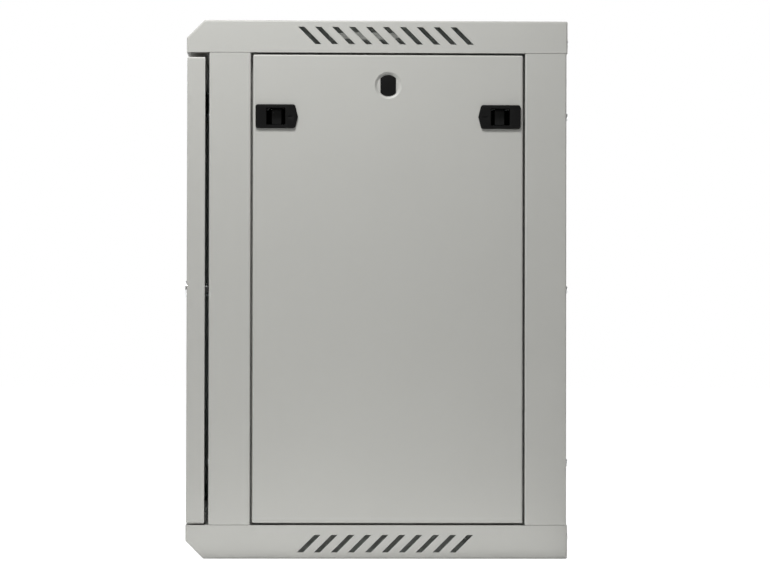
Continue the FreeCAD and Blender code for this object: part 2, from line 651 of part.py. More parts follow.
front_post = new_body("front_post_right")
fold(front_post, "Channel", "XY_Plane", lower_end, upper_end, "steel", (
    (f"{HALF} - front_return", POST_FRONT), (HALF, POST_FRONT), (HALF, SIDE_FRONT),
    (f"{HALF} - ledge", SIDE_FRONT), (f"{HALF} - ledge", f"{SIDE_FRONT} + ledge_lip")))
trim_post(front_post, (TAB_EDGE, f"{POST_FRONT} - steel"), (f"{HALF} + steel", f"{POST_FRONT} - steel"),
          (f"{HALF} + steel", f"{SIDE_FRONT} + ledge_lip + steel"),
          (f"{LIP_BACK} - steel", f"{SIDE_FRONT} + ledge_lip + steel"),
          (f"{LIP_BACK} - steel", f"{POST_FRONT} + steel"), (TAB_EDGE, f"{POST_FRONT} + steel"))
cut(front_post, "ScrewHoles", "XZ_Plane", POST_FRONT, f"{POST_FRONT} + steel",
    circle(FRONT_SCREW, "bracket_level", "screw_hole"), circle(FRONT_SCREW, "-bracket_level", "screw_hole"),
    circle(POST_SCREW, f"{OPENING_TOP} + lip_screw", "screw_hole"),
    circle(POST_SCREW, f"{OPENING_BOTTOM} - lip_screw", "screw_hole"))
mirror_image("front_post_left", front_post, "x")

rear_post = new_body("rear_post_right")
fold(rear_post, "Channel", "XY_Plane", lower_end, upper_end, "steel", (
    (f"{HALF} - ledge", f"{SIDE_REAR} - ledge_lip"), (f"{HALF} - ledge", SIDE_REAR), (HALF, SIDE_REAR),
    (HALF, "steel"), (f"{HALF} - rear_return", "steel")))
trim_post(rear_post, (TAB_EDGE, COVER_REAR), (TAB_EDGE, "0"), (f"{LIP_BACK} - steel", "0"),
          (f"{LIP_BACK} - steel", f"{SIDE_REAR} - ledge_lip - steel"),
          (f"{HALF} + steel", f"{SIDE_REAR} - ledge_lip - steel"), (f"{HALF} + steel", COVER_REAR))
PANEL_SCREW_LEVELS = ("-bracket_level", "0", "bracket_level")
COVER_SCREW_LEVELS = ("cover_screw - height / 2", "height / 2 - cover_screw")
cut(rear_post, "ScrewHoles", "XZ_Plane", "0", "steel",
    *(circle(POST_SCREW, level, "screw_hole") for level in PANEL_SCREW_LEVELS + COVER_SCREW_LEVELS))
mirror_image("rear_post_left", rear_post, "x")

back_panel = new_body("back_panel")
add(back_panel, "Sheet", "XZ_Plane", "-steel", "0", rectangle(f"-{TAB_EDGE}", lower_end, TAB_EDGE, upper_end))
cut(back_panel, "WallHoles", "XZ_Plane", "-steel", "0",
    *(circle(f"{x} * wall_span_x / 2", f"{z} * wall_span_z / 2", "wall_hole")
      for x in (-1, 1) for z in (-1, 1)))
cut(back_panel, "ScrewHoles", "XZ_Plane", "-steel", "0",
    *(circle(f"{hand} * {POST_SCREW}", level, "screw_hole")
      for hand in (-1, 1) for level in PANEL_SCREW_LEVELS + COVER_SCREW_LEVELS))

BOTH_SIDES = ("X_Axis", f"2 * {POST_SCREW}", "2")
screw_set("back_panel_screws", f"-{POST_SCREW}", "steel", "-bracket_level", 1, "screw_rise",
          BOTH_SIDES, ("Z_Axis", "bracket_level", "3"))
screw_set("cover_rear_screws", f"-{POST_SCREW}", COVER_REAR, "cover_screw - height / 2", 1,
          "cover_screw_rise", BOTH_SIDES, ("Z_Axis", "(height - 2 * cover_screw)", "2"))
screw_set("cover_front_screws", f"-{POST_SCREW}", f"{POST_FRONT} + steel", f"{OPENING_BOTTOM} - lip_screw", 1,
          "screw_rise", BOTH_SIDES, ("Z_Axis", f"({OPENING_TOP} - {OPENING_BOTTOM} + 2 * lip_screw)", "2"))
screw_set("bracket_screws", f"-{FRONT_SCREW}", POST_FRONT, "-bracket_level", -1, "screw_rise",
          ("X_Axis", f"2 * {FRONT_SCREW}", "2"), ("Z_Axis", "2 * bracket_level", "2"))

earth = new_body("earth_stud")
EARTH_Z = f"({OPENING_BOTTOM} - post_tab / 3)"
EARTH_X = f"(earth_place - {HALF})"
add(earth, "Stud", "XZ_Plane", "-steel - earth_length", "-steel", circle(EARTH_X, EARTH_Z, "earth_stud"))
add(earth, "Nut", "XZ_Plane", "-steel - nut_rise", "-steel", hexagon(EARTH_X, EARTH_Z, "bolt_head"))

# ---------------------------------------------------------------- depth brackets and rack rails

FRONT_BOLT = f"({RAIL_FRONT} + rail_bolt_place)"
REAR_BOLT = "(-rail_rear - rail_bolt_place)"


def depth_bracket(label, hand):
    """A channel from the front post to the rear post, slotted for the rails' bolts."""
    level = f"({hand} * bracket_level)"
    body = new_body(label)
    front, rear = f"({POST_FRONT} + steel)", "(-steel)"
    top, bottom = f"({level} + bracket_height / 2)", f"({level} - bracket_height / 2)"
    flange = f"({BRACKET_X} + bracket_flange)"
    fold(body, "Channel", "XZ_Plane", front, rear, "bracket_steel",
         ((flange, top), (BRACKET_X, top), (BRACKET_X, bottom), (flange, bottom)))
    tab = rectangle(f"{BRACKET_X} + bracket_steel / 2", bottom, f"{POST_SCREW} + bracket_tab", top)
    add(body, "FrontTab", "XZ_Plane", front, f"{front} + bracket_steel", tab)
    add(body, "RearTab", "XZ_Plane", f"{rear} - bracket_steel", rear, tab)
    cut(body, "FrontScrewHole", "XZ_Plane", front, f"{front} + bracket_steel",
        circle(FRONT_SCREW, level, "screw_hole"))
    cut(body, "RearScrewHole", "XZ_Plane", f"{rear} - bracket_steel", rear,
        circle(POST_SCREW, level, "screw_hole"))
    travel = "(rail_in + rail_out + bolt_hole)"
    shift = "(rail_in - rail_out) / 2"
    cut(body, "Slots", "YZ_Plane", BRACKET_X, f"{BRACKET_X} + bracket_steel",
        slot(f"{FRONT_BOLT} + {shift}", level, travel, "bolt_hole"),
        slot(f"{REAR_BOLT} - {shift}", level, travel, "bolt_hole"))
    return body


for name, hand in (("upper", 1), ("lower", -1)):
    bracket = depth_bracket(f"depth_bracket_{name}_right", hand)
    mirror_image(f"depth_bracket_{name}_left", bracket, "x")


def rack_rail(label, face, bolt_row, hand):
    """An angle with square holes in the face that the equipment is fixed to."""
    body = new_body(label)
    fold(body, "Angle", "XY_Plane", f"-{RACK_HALF} - rail_margin", f"{RACK_HALF} + rail_margin", "rail_steel",
         (("rack_clear / 2", face), (RAIL_WEB, face), (RAIL_WEB, f"{face} + {hand} * rail_web")),
         left=hand > 0)
    low, high = (face, f"{face} + rail_steel") if hand > 0 else (f"{face} - rail_steel", face)
    unit = cut(body, "UnitHoles", "XZ_Plane", low, high, *(
        centred("rack_holes / 2", f"(rack_first + {step} * rack_step - {RACK_HALF})",
                "rack_square", "rack_square") for step in range(3)))
    repeat(body, [unit], "Units", ("Z_Axis", "rack_pitch", "rack_units"))
    cut(body, "BoltHoles", "YZ_Plane", f"{RAIL_WEB} - rail_steel", RAIL_WEB,
        *(circle(bolt_row, f"{side} * bracket_level", "bolt_hole") for side in (-1, 1)))
    return body


def rail_clamps(label, bolt_row):
    """The two bolts that clamp a rail in the brackets' slots, and their nuts."""
    body = new_body(label)
    inside = f"({RAIL_WEB} - rail_steel)"
    outside = f"({BRACKET_X} + bracket_steel + running_gap)"
    level = "(-bracket_level)"
    head = add(body, "Head", "YZ_Plane", f"{inside} - bolt_head_rise", inside,
               hexagon(bolt_row, level, "bolt_head"))
    shank = add(body, "Shank", "YZ_Plane", inside, f"{outside} + nut_rise + bolt_end",
                circle(bolt_row, level, "bolt"))
    nut = add(body, "Nut", "YZ_Plane", outside, f"{outside} + nut_rise",
              hexagon(bolt_row, level, "bolt_head"), circle(bolt_row, level, "bolt + 2 * close_fit"))
    repeat(body, [head, shank, nut], "Places", ("Z_Axis", "2 * bracket_level", "2"))
    return body


for name, face, bolt_row, hand in (("front", RAIL_FRONT, FRONT_BOLT, 1),
                                   ("rear", "(-rail_rear)", REAR_BOLT, -1)):
    rail = rack_rail(f"rack_rail_{name}_right", face, bolt_row, hand)
    clamps = rail_clamps(f"rail_clamps_{name}_right", bolt_row)
    mirror_image(f"rack_rail_{name}_left", rail, "x")
    mirror_image(f"rail_clamps_{name}_left", clamps, "x")

# ---------------------------------------------------------------- side panels

RECESS_Y = f"({LATCH_Y} + recess_place)"
LIP_END = f"({SIDE_FRONT} + ledge_lip + tongue_clear)"
SOCKET_END = f"({LATCH_Y} + latch_length - latch_point - latch_margin)"


def mirrored_y(place):
    """A place on the front half of the side panel, carried to its rear half."""
    return f"(2 * {PANEL_MIDDLE} - ({place}))"


def side_panel(label):
    """A lid with four folded edges, two feet, a pressed dimple and openings for two latches."""
    body = new_body(label)
    add(body, "Lid", "YZ_Plane", PANEL_BACK, HALF,
        rectangle(PANEL_FRONT, PANEL_BOTTOM, PANEL_REAR, PANEL_TOP))
    round_edges(body, "LidBends", "bend + steel", off_face(0, PANEL_BACK))
    cut(body, "Hollow", "YZ_Plane", PANEL_BACK, f"{HALF} - steel", rectangle(
        f"{PANEL_FRONT} + steel", f"{PANEL_BOTTOM} + steel", f"{PANEL_REAR} - steel", f"{PANEL_TOP} - steel"))
    foot_bottom = f"{OPENING_BOTTOM} + running_gap"
    add(body, "Feet", "YZ_Plane", PANEL_BACK, f"{PANEL_BACK} + steel", *(rectangle(
        f"{PANEL_MIDDLE} + {side} * foot_span / 2 - foot_width / 2", foot_bottom,
        f"{PANEL_MIDDLE} + {side} * foot_span / 2 + foot_width / 2", f"{PANEL_BOTTOM} + steel")
        for side in (-1, 1)))
    wall = "(dimple_depth + steel)"
    turned(body, "DimpleWall", "XZ_Plane", PANEL_MIDDLE, (HALF, DIMPLE_Z), "H_Axis", polygon(
        ("-steel", "0"), ("-steel", "dimple_width / 2 + steel / 2"),
        (f"-{wall}", "dimple_floor / 2 + steel / 2"), (f"-{wall}", "0")))
    turned_cut(body, "Dimple", "XZ_Plane", PANEL_MIDDLE, (HALF, DIMPLE_Z), "H_Axis", polygon(
        ("0", "0"), ("0", "dimple_width / 2"), ("-dimple_depth", "dimple_floor / 2"), ("-dimple_depth", "0")))
    cut(body, "PlugHole", "YZ_Plane", f"{HALF} - {wall}", f"{HALF} - dimple_depth",
        double_d(PANEL_MIDDLE, DIMPLE_Z, "(plug_stem + 2 * close_fit)", "(plug_stem_flats + 2 * close_fit)"))
    low, high = f"{LATCH_Z} - latch_socket / 2", f"{LATCH_Z} + latch_socket / 2"
    cut(body, "LatchHoles", "YZ_Plane", f"{HALF} - steel", HALF, rectangle(LIP_END, low, SOCKET_END, high),
        rectangle(mirrored_y(SOCKET_END), low, mirrored_y(LIP_END), high))
    return body


def panel_plug(label):
    """The blanking plug in the dimple: a double-D head on a slimmer stem."""
    body = new_body(label)
    floor = f"({HALF} - dimple_depth)"
    add(body, "Head", "YZ_Plane", floor, f"{floor} + plug_head",
        double_d(PANEL_MIDDLE, DIMPLE_Z, "plug_width", "plug_flats"))
    bevel_edges(body, "HeadBevel", "plug_head / 2", on_face(0, f"{floor} + plug_head"))
    add(body, "Stem", "YZ_Plane", f"{floor} - steel - plug_reach", floor,
        double_d(PANEL_MIDDLE, DIMPLE_Z, "plug_stem", "plug_stem_flats"))
    return body


def latch_housing(label):
    """The latch's plate with its pointed inner end, and the body behind it, open right through."""
    body = new_body(label)
    end, point = f"({LATCH_Y} + latch_length)", f"({LATCH_Y} + latch_length - latch_point)"
    low, high = f"({LATCH_Z} - latch_height / 2)", f"({LATCH_Z} + latch_height / 2)"
    face = f"({HALF} + latch_proud)"
    add(body, "Plate", "YZ_Plane", HALF, face,
        polygon((LATCH_Y, low), (point, low), (end, LATCH_Z), (point, high), (LATCH_Y, high)))
    round_edges(body, "Corners", "latch_corner",
                along("YZ_Plane", (LATCH_Y, low), (LATCH_Y, high), (point, low), (point, high)))
    bevel_edges(body, "Edge", "latch_edge", on_face(0, face))
    add(body, "Socket", "YZ_Plane", LIP_BACK, HALF, rectangle(
        LIP_END, f"{LATCH_Z} - latch_socket / 2", SOCKET_END, f"{LATCH_Z} + latch_socket / 2"))
    cut(body, "Recess", "YZ_Plane", LIP_BACK, face, rectangle(
        RECESS_Y, f"{LATCH_Z} - recess_height / 2",
        f"{RECESS_Y} + recess_length", f"{LATCH_Z} + recess_height / 2"))
    return body


def latch_slider(label):
    """The finger piece and the tongue that it pushes behind the post's lip."""
    body = new_body(label)
    finger = f"({RECESS_Y} + finger_place)"
    face = f"({LIP_BACK} - running_gap)"
    half_height = "(recess_height / 2 - running_gap)"
    add(body, "Finger", "YZ_Plane", face, f"{HALF} + latch_proud - finger_drop",
        rectangle(finger, f"{LATCH_Z} - {half_height}",
                  f"{finger} + finger_length", f"{LATCH_Z} + {half_height}"))
    add(body, "Tongue", "YZ_Plane", f"{face} - tongue_wall", face, rectangle(
        LIP_END, f"{LATCH_Z} - tongue_height / 2",
        f"{RECESS_Y} + recess_length + tongue_tail", f"{LATCH_Z} + tongue_height / 2"))
    return body


right_panel = side_panel("side_panel_right")
mirror_image("side_panel_left", right_panel, "x")
right_plug = panel_plug("panel_plug_right")
mirror_image("panel_plug_left", right_plug, "x")
for kind, make in (("latch_housing", latch_housing), ("latch_slider", latch_slider)):
    front_right = make(f"{kind}_front_right")
    rear_right = mirror_image(f"{kind}_rear_right", front_right, "y", PANEL_MIDDLE)
    mirror_image(f"{kind}_front_left", front_right, "x")
    mirror_image(f"{kind}_rear_left", rear_right, "x")

# ---------------------------------------------------------------- door

door = new_body("door_frame")
add(door, "Box", "XZ_Plane", DOOR_FRONT, DOOR_BACK,
    rectangle(f"-{DOOR_HALF}", DOOR_BOTTOM, DOOR_HALF, DOOR_TOP))
round_edges(door, "BoxBends", "bend + steel", off_face(1, DOOR_BACK))
cut(door, "BackOpening", "XZ_Plane", f"{DOOR_BACK} - steel", DOOR_BACK, rectangle(
    f"door_lip - {DOOR_HALF}", f"{DOOR_BOTTOM} + door_lip",
    f"{DOOR_HALF} - door_lip", f"{DOOR_TOP} - door_lip"))
cut(door, "Hollow", "XZ_Plane", f"{DOOR_FRONT} + steel", f"{DOOR_BACK} - steel", rectangle(
    f"steel - {DOOR_HALF}", f"{DOOR_BOTTOM} + steel", f"{DOOR_HALF} - steel", f"{DOOR_TOP} - steel"))
WINDOW = (f"window_side - {DOOR_HALF}", f"{DOOR_BOTTOM} + window_end",
          f"{DOOR_HALF} - window_side", f"{DOOR_TOP} - window_end")
cut(door, "Window", "XZ_Plane", DOOR_FRONT, f"{DOOR_FRONT} + steel", rectangle(*WINDOW))
round_edges(door, "WindowCorners", "window_corner", along(
    "XZ_Plane", *((WINDOW[side], WINDOW[end]) for side in (0, 2) for end in (1, 3))))
HINGE_HOLE = circle(f"-{HINGE_X}", HINGE_Y, "hinge_pin + 2 * running_gap")
cut(door, "UpperHingeHole", "XY_Plane", f"{DOOR_TOP} - steel", DOOR_TOP, HINGE_HOLE)
cut(door, "LowerHingeHole", "XY_Plane", DOOR_BOTTOM, f"{DOOR_BOTTOM} + steel", HINGE_HOLE)
cut(door, "LockHole", "XZ_Plane", DOOR_FRONT, f"{DOOR_FRONT} + steel",
    circle(LOCK_X, "0", "lock_barrel + 2 * close_fit"))

GLASS_OUTLINE = rectangle(f"-{GLASS_X}", GLASS_BOTTOM, GLASS_X, GLASS_TOP)
pane = new_body("door_glass")
add(pane, "Pane", "XZ_Plane", GLASS_FRONT, f"{GLASS_FRONT} + glass", GLASS_OUTLINE)
foam = new_body("glass_seal")
add(foam, "Ring", "XZ_Plane", f"{GLASS_FRONT} - seal", GLASS_FRONT, GLASS_OUTLINE, rectangle(*WINDOW))

clips = new_body("glass_clips")
clip_face = f"({GLASS_X} + close_fit)"
for name, hand in (("Right", 1), ("Left", -1)):
    foot = add(clips, f"{name}Clip", "XY_Plane", "-clip_pitch * (clip_count - 1) / 2 - clip_width / 2",
               "-clip_pitch * (clip_count - 1) / 2 + clip_width / 2", polygon(
                   (f"{hand} * ({clip_face} + clip_foot)", f"{DOOR_FRONT} + steel"),
                   (f"{hand} * {clip_face}", f"{DOOR_FRONT} + steel"),
                   (f"{hand} * {clip_face}", f"{GLASS_FRONT} + glass"),
                   (f"{hand} * ({clip_face} - clip_grip)", f"{GLASS_FRONT} + glass"),
                   (f"{hand} * ({clip_face} - clip_grip)", f"{GLASS_FRONT} + glass + clip_steel"),
                   (f"{hand} * ({clip_face} + clip_steel)", f"{GLASS_FRONT} + glass + clip_steel"),
                   (f"{hand} * ({clip_face} + clip_steel)", f"{DOOR_FRONT} + steel + clip_steel"),
                   (f"{hand} * ({clip_face} + clip_foot)", f"{DOOR_FRONT} + steel + clip_steel")))
    repeat(clips, [foot], f"{name}Clips", ("Z_Axis", "clip_pitch", "clip_count"))

nuts = new_body("clip_nuts")
nut_x = f"({clip_face} + (clip_foot + clip_steel) / 2)"
nut_base = f"({DOOR_FRONT} + steel + clip_steel)"
first_nut = "(-clip_pitch * (clip_count - 1) / 2)"
nut = add(nuts, "Nut", "XZ_Plane", nut_base, f"{nut_base} + clip_nut_rise",
          hexagon(f"-{nut_x}", first_nut, "clip_nut"))
stud = add(nuts, "StudEnd", "XZ_Plane", f"{nut_base} + clip_nut_rise", f"{nut_base} + 2 * clip_nut_rise",
           circle(f"-{nut_x}", first_nut, "clip_stud"))
repeat(nuts, [nut, stud], "Places", ("X_Axis", f"2 * {nut_x}", "2"), ("Z_Axis", "clip_pitch", "clip_count"))

# ---------------------------------------------------------------- hinge

lower_pin = new_body("hinge_pin_lower")
turned(lower_pin, "Pin", "XZ_Plane", HINGE_Y, (f"-{HINGE_X}", OPENING_BOTTOM), "V_Axis", polygon(
    ("0", "-steel - hinge_rivet_rise"), ("hinge_rivet / 2", "-steel - hinge_rivet_rise"),
    ("hinge_rivet / 2", "-steel"), ("hinge_pin / 2", "-steel"),
    ("hinge_pin / 2", "door_bottom_gap + steel + hinge_reach - pin_bevel"),
    ("hinge_pin / 2 - pin_bevel", "door_bottom_gap + steel + hinge_reach"),
    ("0", "door_bottom_gap + steel + hinge_reach")))
washer = new_body("hinge_washer")
add(washer, "Ring", "XY_Plane", OPENING_BOTTOM, f"{DOOR_BOTTOM} - running_gap",
    circle(f"-{HINGE_X}", HINGE_Y, "washer_width"),
    circle(f"-{HINGE_X}", HINGE_Y, "hinge_pin + 2 * running_gap"))

shelf = new_body("hinge_shelf")
fold(shelf, "Angle", "XZ_Plane", f"{HINGE_Y} - pin_shelf_depth / 2", f"{HINGE_Y} + pin_shelf_depth / 2",
     "bracket_steel", (
         (f"steel - {DOOR_HALF}", f"{DOOR_TOP} - pin_shelf + pin_shelf_rise"),
         (f"steel - {DOOR_HALF}", f"{DOOR_TOP} - pin_shelf"),
         (f"steel + pin_shelf_width - {DOOR_HALF}", f"{DOOR_TOP} - pin_shelf")))
cut(shelf, "PinHole", "XY_Plane", f"{SHELF_TOP} - bracket_steel", SHELF_TOP, HINGE_HOLE)

upper_pin = new_body("hinge_pin_upper")
KNOB_TOP = f"({DOOR_TOP} - pin_shelf - running_gap)"
turned(upper_pin, "Pin", "XZ_Plane", HINGE_Y, (f"-{HINGE_X}", "0"), "V_Axis", polygon(
    ("0", f"{KNOB_TOP} - pin_knob_rise"), ("pin_knob / 2", f"{KNOB_TOP} - pin_knob_rise"),
    ("pin_knob / 2", KNOB_TOP),
    ("hinge_pin / 2", KNOB_TOP), ("hinge_pin / 2", f"{COLLAR_TOP} - pin_collar_rise"),
    ("pin_collar / 2", f"{COLLAR_TOP} - pin_collar_rise"), ("pin_collar / 2", COLLAR_TOP),
    ("hinge_pin / 2", COLLAR_TOP), ("hinge_pin / 2", f"{OPENING_TOP} + hinge_hold - pin_bevel"),
    ("hinge_pin / 2 - pin_bevel", f"{OPENING_TOP} + hinge_hold"), ("0", f"{OPENING_TOP} + hinge_hold")))


def hinge_spring(label):
    """A coil of square wire round the upper pin, between the shelf and the collar."""
    wire = size_of("spring_wire")
    radius = size_of("hinge_pin / 2 + running_gap") + wire / 2
    bottom = size_of(SHELF_TOP) + wire
    rise = size_of(f"{COLLAR_TOP} - pin_collar_rise") - wire - bottom
    corners_per_turn = 12
    count = round(size_of("spring_turns")) * corners_per_turn
    centre = Vector(-size_of(HINGE_X), size_of(HINGE_Y), bottom)
    points = []
    for step in range(count + 1):
        turn = 2 * math.pi * step / corners_per_turn
        points.append(centre + Vector(radius * math.cos(turn), radius * math.sin(turn), rise * step / count))
    path = Part.makePolygon(points)
    start = points[0]
    half = wire / 2
    section = Part.makePolygon([start + Vector(x * half, 0, z * half)
                                for x, z in ((-1, -1), (1, -1), (1, 1), (-1, 1), (-1, -1))])
    spring = doc.addObject("Part::Feature", label)
    spring.Label = label
    spring.Shape = path.makePipeShell([section], True, True, 1)
    pieces.append(spring)
    return spring


hinge_spring("hinge_spring")

# ---------------------------------------------------------------- lock

CAM_DEPTH = f"({CAM_FRONT} - {DOOR_FRONT})"
lock_origin = (LOCK_X, DOOR_FRONT)
lock = new_body("lock_body")
barrel_end = f"{CAM_DEPTH} - running_gap"
turned(lock, "Barrel", "XY_Plane", "0", lock_origin, "V_Axis", polygon(
    ("lock_rotor / 2", "-lock_proud"), ("lock_head / 2 - lock_edge", "-lock_proud"),
    ("lock_head / 2", "lock_edge - lock_proud"), ("lock_head / 2", "0"), ("lock_barrel / 2", "0"),
    ("lock_barrel / 2", barrel_end), ("lock_rotor / 2", barrel_end)))
lock_nut = new_body("lock_nut")
nut_back = f"{DOOR_FRONT} + steel"
add(lock_nut, "Nut", "XZ_Plane", nut_back, f"{nut_back} + lock_nut_rise",
    hexagon(LOCK_X, "0", "lock_nut"), circle(LOCK_X, "0", "lock_barrel + 2 * close_fit"))

rotor = new_body("lock_rotor")
rotor_side = "(lock_rotor / 2 - close_fit)"
turned(rotor, "Cylinder", "XY_Plane", "0", lock_origin, "V_Axis", polygon(
    ("0", "rotor_recess - lock_proud"), (rotor_side, "rotor_recess - lock_proud"), (rotor_side, CAM_DEPTH),
    ("0", CAM_DEPTH)))
add(rotor, "Tail", "XZ_Plane", CAM_FRONT, f"{CAM_FRONT} + cam_steel",
    centred(LOCK_X, "0", "cam_square", "cam_square"))
rotor_face = f"{DOOR_FRONT} + rotor_recess - lock_proud"
cut(rotor, "KeySlot", "XZ_Plane", rotor_face, f"{rotor_face} + key_slot_depth",
    centred(LOCK_X, "0", "key_slot_width", "key_slot"))
cut(rotor, "ScrewBore", "XZ_Plane", f"{CAM_FRONT} + cam_steel - screw_grip", f"{CAM_FRONT} + cam_steel",
    circle(LOCK_X, "0", "screw_shank + 2 * close_fit"))

cam = new_body("lock_cam")
add(cam, "Plate", "XZ_Plane", CAM_FRONT, f"{CAM_FRONT} + cam_steel",
    rectangle(f"{LOCK_X} - cam_width / 2", "-cam_reach", f"{LOCK_X} + cam_width / 2", "cam_width / 2"))
round_edges(cam, "Corners", "cam_corner", along("XZ_Plane", *(
    (f"{LOCK_X} + {side} * cam_width / 2", end)
    for side in (-1, 1) for end in ("-cam_reach", "cam_width / 2"))))
cut(cam, "SquareHole", "XZ_Plane", CAM_FRONT, f"{CAM_FRONT} + cam_steel", centred(
    LOCK_X, "0", "(cam_square + 2 * close_fit)", "(cam_square + 2 * close_fit)"))

cam_screw = new_body("cam_screw")
turned(cam_screw, "Screw", "XY_Plane", "0", (LOCK_X, f"{CAM_FRONT} + cam_steel"), "V_Axis", polygon(
    ("0", "running_gap - screw_grip"), ("screw_shank / 2", "running_gap - screw_grip"),
    ("screw_shank / 2", "0"),
    ("screw_head / 2", "0"), ("screw_head / 2", "cam_screw_rise"), ("0", "cam_screw_rise")))

# ---------------------------------------------------------------- check and write

doc.recompute()
for item in doc.Objects:
    if {"Invalid", "Error"} & set(item.State):
        raise RuntimeError(f"{item.Label} failed: {item.State}")
for piece in pieces:
    if piece.Shape.isNull() or not piece.Shape.isValid() or not piece.Shape.Solids:
        raise RuntimeError(f"{piece.Label} has no sound shape")

os.makedirs("parts", exist_ok=True)
for piece in pieces:
    piece.Shape.exportStep(f"parts/{piece.Label}.step")
    print(f"{piece.Label}: {len(piece.Shape.Solids)} solids, {piece.Shape.Volume / 1000:.1f} cm3")
print(f"{len(pieces)} pieces")
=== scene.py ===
# %% [markdown]
# # Dressing a wall mount network cabinet
# The cabinet comes from the CAD step as a set of named nodes, each already in its place.
# In this lesson we give every one of them the finish of the real piece, swap the plain
# fasteners and mouldings for finer ones, and light the whole like a catalogue picture.
# The frame is loaded first, and its box is kept: the floor is set just under it, and at the
# end the dressed cabinet's box is printed as well.

# %% Load the measured cabinet
import json
import math

import bmesh
import bpy
from mathutils import Matrix, Vector


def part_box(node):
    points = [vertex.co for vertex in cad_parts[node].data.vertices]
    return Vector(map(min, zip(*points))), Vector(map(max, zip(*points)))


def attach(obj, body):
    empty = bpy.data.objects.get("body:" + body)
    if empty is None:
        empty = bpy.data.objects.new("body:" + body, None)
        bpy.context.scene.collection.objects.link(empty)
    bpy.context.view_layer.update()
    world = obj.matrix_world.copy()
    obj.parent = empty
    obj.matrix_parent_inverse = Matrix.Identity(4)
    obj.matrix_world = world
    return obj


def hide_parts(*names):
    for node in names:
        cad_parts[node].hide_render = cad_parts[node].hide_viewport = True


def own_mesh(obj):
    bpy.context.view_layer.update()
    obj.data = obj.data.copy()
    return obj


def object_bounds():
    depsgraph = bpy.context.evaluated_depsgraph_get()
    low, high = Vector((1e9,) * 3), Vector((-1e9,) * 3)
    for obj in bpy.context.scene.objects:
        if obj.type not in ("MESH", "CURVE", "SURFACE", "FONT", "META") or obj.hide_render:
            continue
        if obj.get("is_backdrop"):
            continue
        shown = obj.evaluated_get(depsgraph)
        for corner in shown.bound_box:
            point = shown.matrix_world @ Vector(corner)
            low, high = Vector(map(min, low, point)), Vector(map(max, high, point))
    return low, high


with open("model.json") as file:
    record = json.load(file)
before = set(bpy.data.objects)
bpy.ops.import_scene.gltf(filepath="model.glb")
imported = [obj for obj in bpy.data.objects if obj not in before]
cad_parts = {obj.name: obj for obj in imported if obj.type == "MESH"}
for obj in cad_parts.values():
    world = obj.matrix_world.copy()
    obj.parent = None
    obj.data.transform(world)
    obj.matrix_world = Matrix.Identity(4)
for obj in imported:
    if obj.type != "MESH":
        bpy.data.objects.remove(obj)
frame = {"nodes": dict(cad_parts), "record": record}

CAD_LOW, CAD_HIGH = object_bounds()
CAD_SIZE = CAD_HIGH - CAD_LOW
MM = 0.001
print("nodes:", len(frame["nodes"]), "size in mm:", [round(side / MM) for side in CAD_SIZE])

# %% [markdown]
# ## The set
# The cabinet stands on a pale floor. A camera ray that meets the floor or the world sees
# white, while the lamps stay at a level where a colour renders about as it is written.
# Glass sees that white too, and gloss sees the white of the floor, as they do in a studio.
# We build the camera before anything else, because every later choice is judged through it.

# %% The camera, a little low and well back from the side panel
cover_low, cover_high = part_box("top_cover")
middle_y = (cover_low.y + cover_high.y) / 2
SIDE_FACE = cover_high.x
CAMERA_DISTANCE = 4.0
VIEW_WIDTH = 908.0 * MM
SENSOR = 36.0
CAMERA_FORWARD = 0.093
CAMERA_HEIGHT = -60.0 * MM
AIM_HEIGHT = 0.5 * MM
AIM_ASIDE = 9.4 * MM
CAMERA_ROLL = math.radians(0.12)

camera_data = bpy.data.cameras.new("side_camera")
camera_data.sensor_width = SENSOR
camera_data.lens = SENSOR * CAMERA_DISTANCE / VIEW_WIDTH
camera = bpy.data.objects.new("side_camera", camera_data)
bpy.context.scene.collection.objects.link(camera)
camera.location = (SIDE_FACE + CAMERA_DISTANCE, middle_y - CAMERA_FORWARD, CAMERA_HEIGHT)
aim = Vector((SIDE_FACE, middle_y + AIM_ASIDE, AIM_HEIGHT)) - camera.location
upright = aim.to_track_quat("-Z", "Y").to_matrix()
camera.rotation_euler = (upright @ Matrix.Rotation(CAMERA_ROLL, 3, "Z")).to_euler()
bpy.context.scene.camera = camera
print("lens:", round(camera_data.lens, 1), "mm")


# %% [markdown]
# ## Helpers for shader nodes
# Every finish below is drawn by shader nodes, so a few small helpers keep the cells short:
# one plugs a value or another node's output into a socket, two add a node, and two open and
# place a node group with named sockets. An effect that several finishes share, such as fine
# grain, is made once as a group.

# %% Add a node, or a group
def plug(tree, socket, value):
    """Fills a socket with a value, or links it to another node's output socket."""
    if isinstance(value, bpy.types.NodeSocket):
        tree.links.new(value, socket)
    else:
        socket.default_value = value


def plug_named(tree, node, inputs):
    for name, value in inputs.items():
        plug(tree, node.inputs[name.replace("_", " ")], value)


def add_node(tree, kind, settings=None, **inputs):
    node = tree.nodes.new(kind)
    for name, value in (settings or {}).items():
        setattr(node, name, value)
    plug_named(tree, node, inputs)
    return node


def math_node(tree, operation, *values):
    node = tree.nodes.new("ShaderNodeMath")
    node.operation = operation
    for socket, value in zip(node.inputs, values):
        plug(tree, socket, value)
    return node.outputs[0]


def open_group(title, inputs, outputs):
    """A shader node group; inputs are (name, kind, start value), outputs are (name, kind)."""
    tree = bpy.data.node_groups.new(title, "ShaderNodeTree")
    for name, kind, value in inputs:
        socket = tree.interface.new_socket(name, in_out="INPUT", socket_type=f"NodeSocket{kind}")
        socket.default_value = value
    for name, kind in outputs:
        tree.interface.new_socket(name, in_out="OUTPUT", socket_type=f"NodeSocket{kind}")
    entry = tree.nodes.new("NodeGroupInput")
    leave = tree.nodes.new("NodeGroupOutput")
    return tree, entry.outputs, leave.inputs


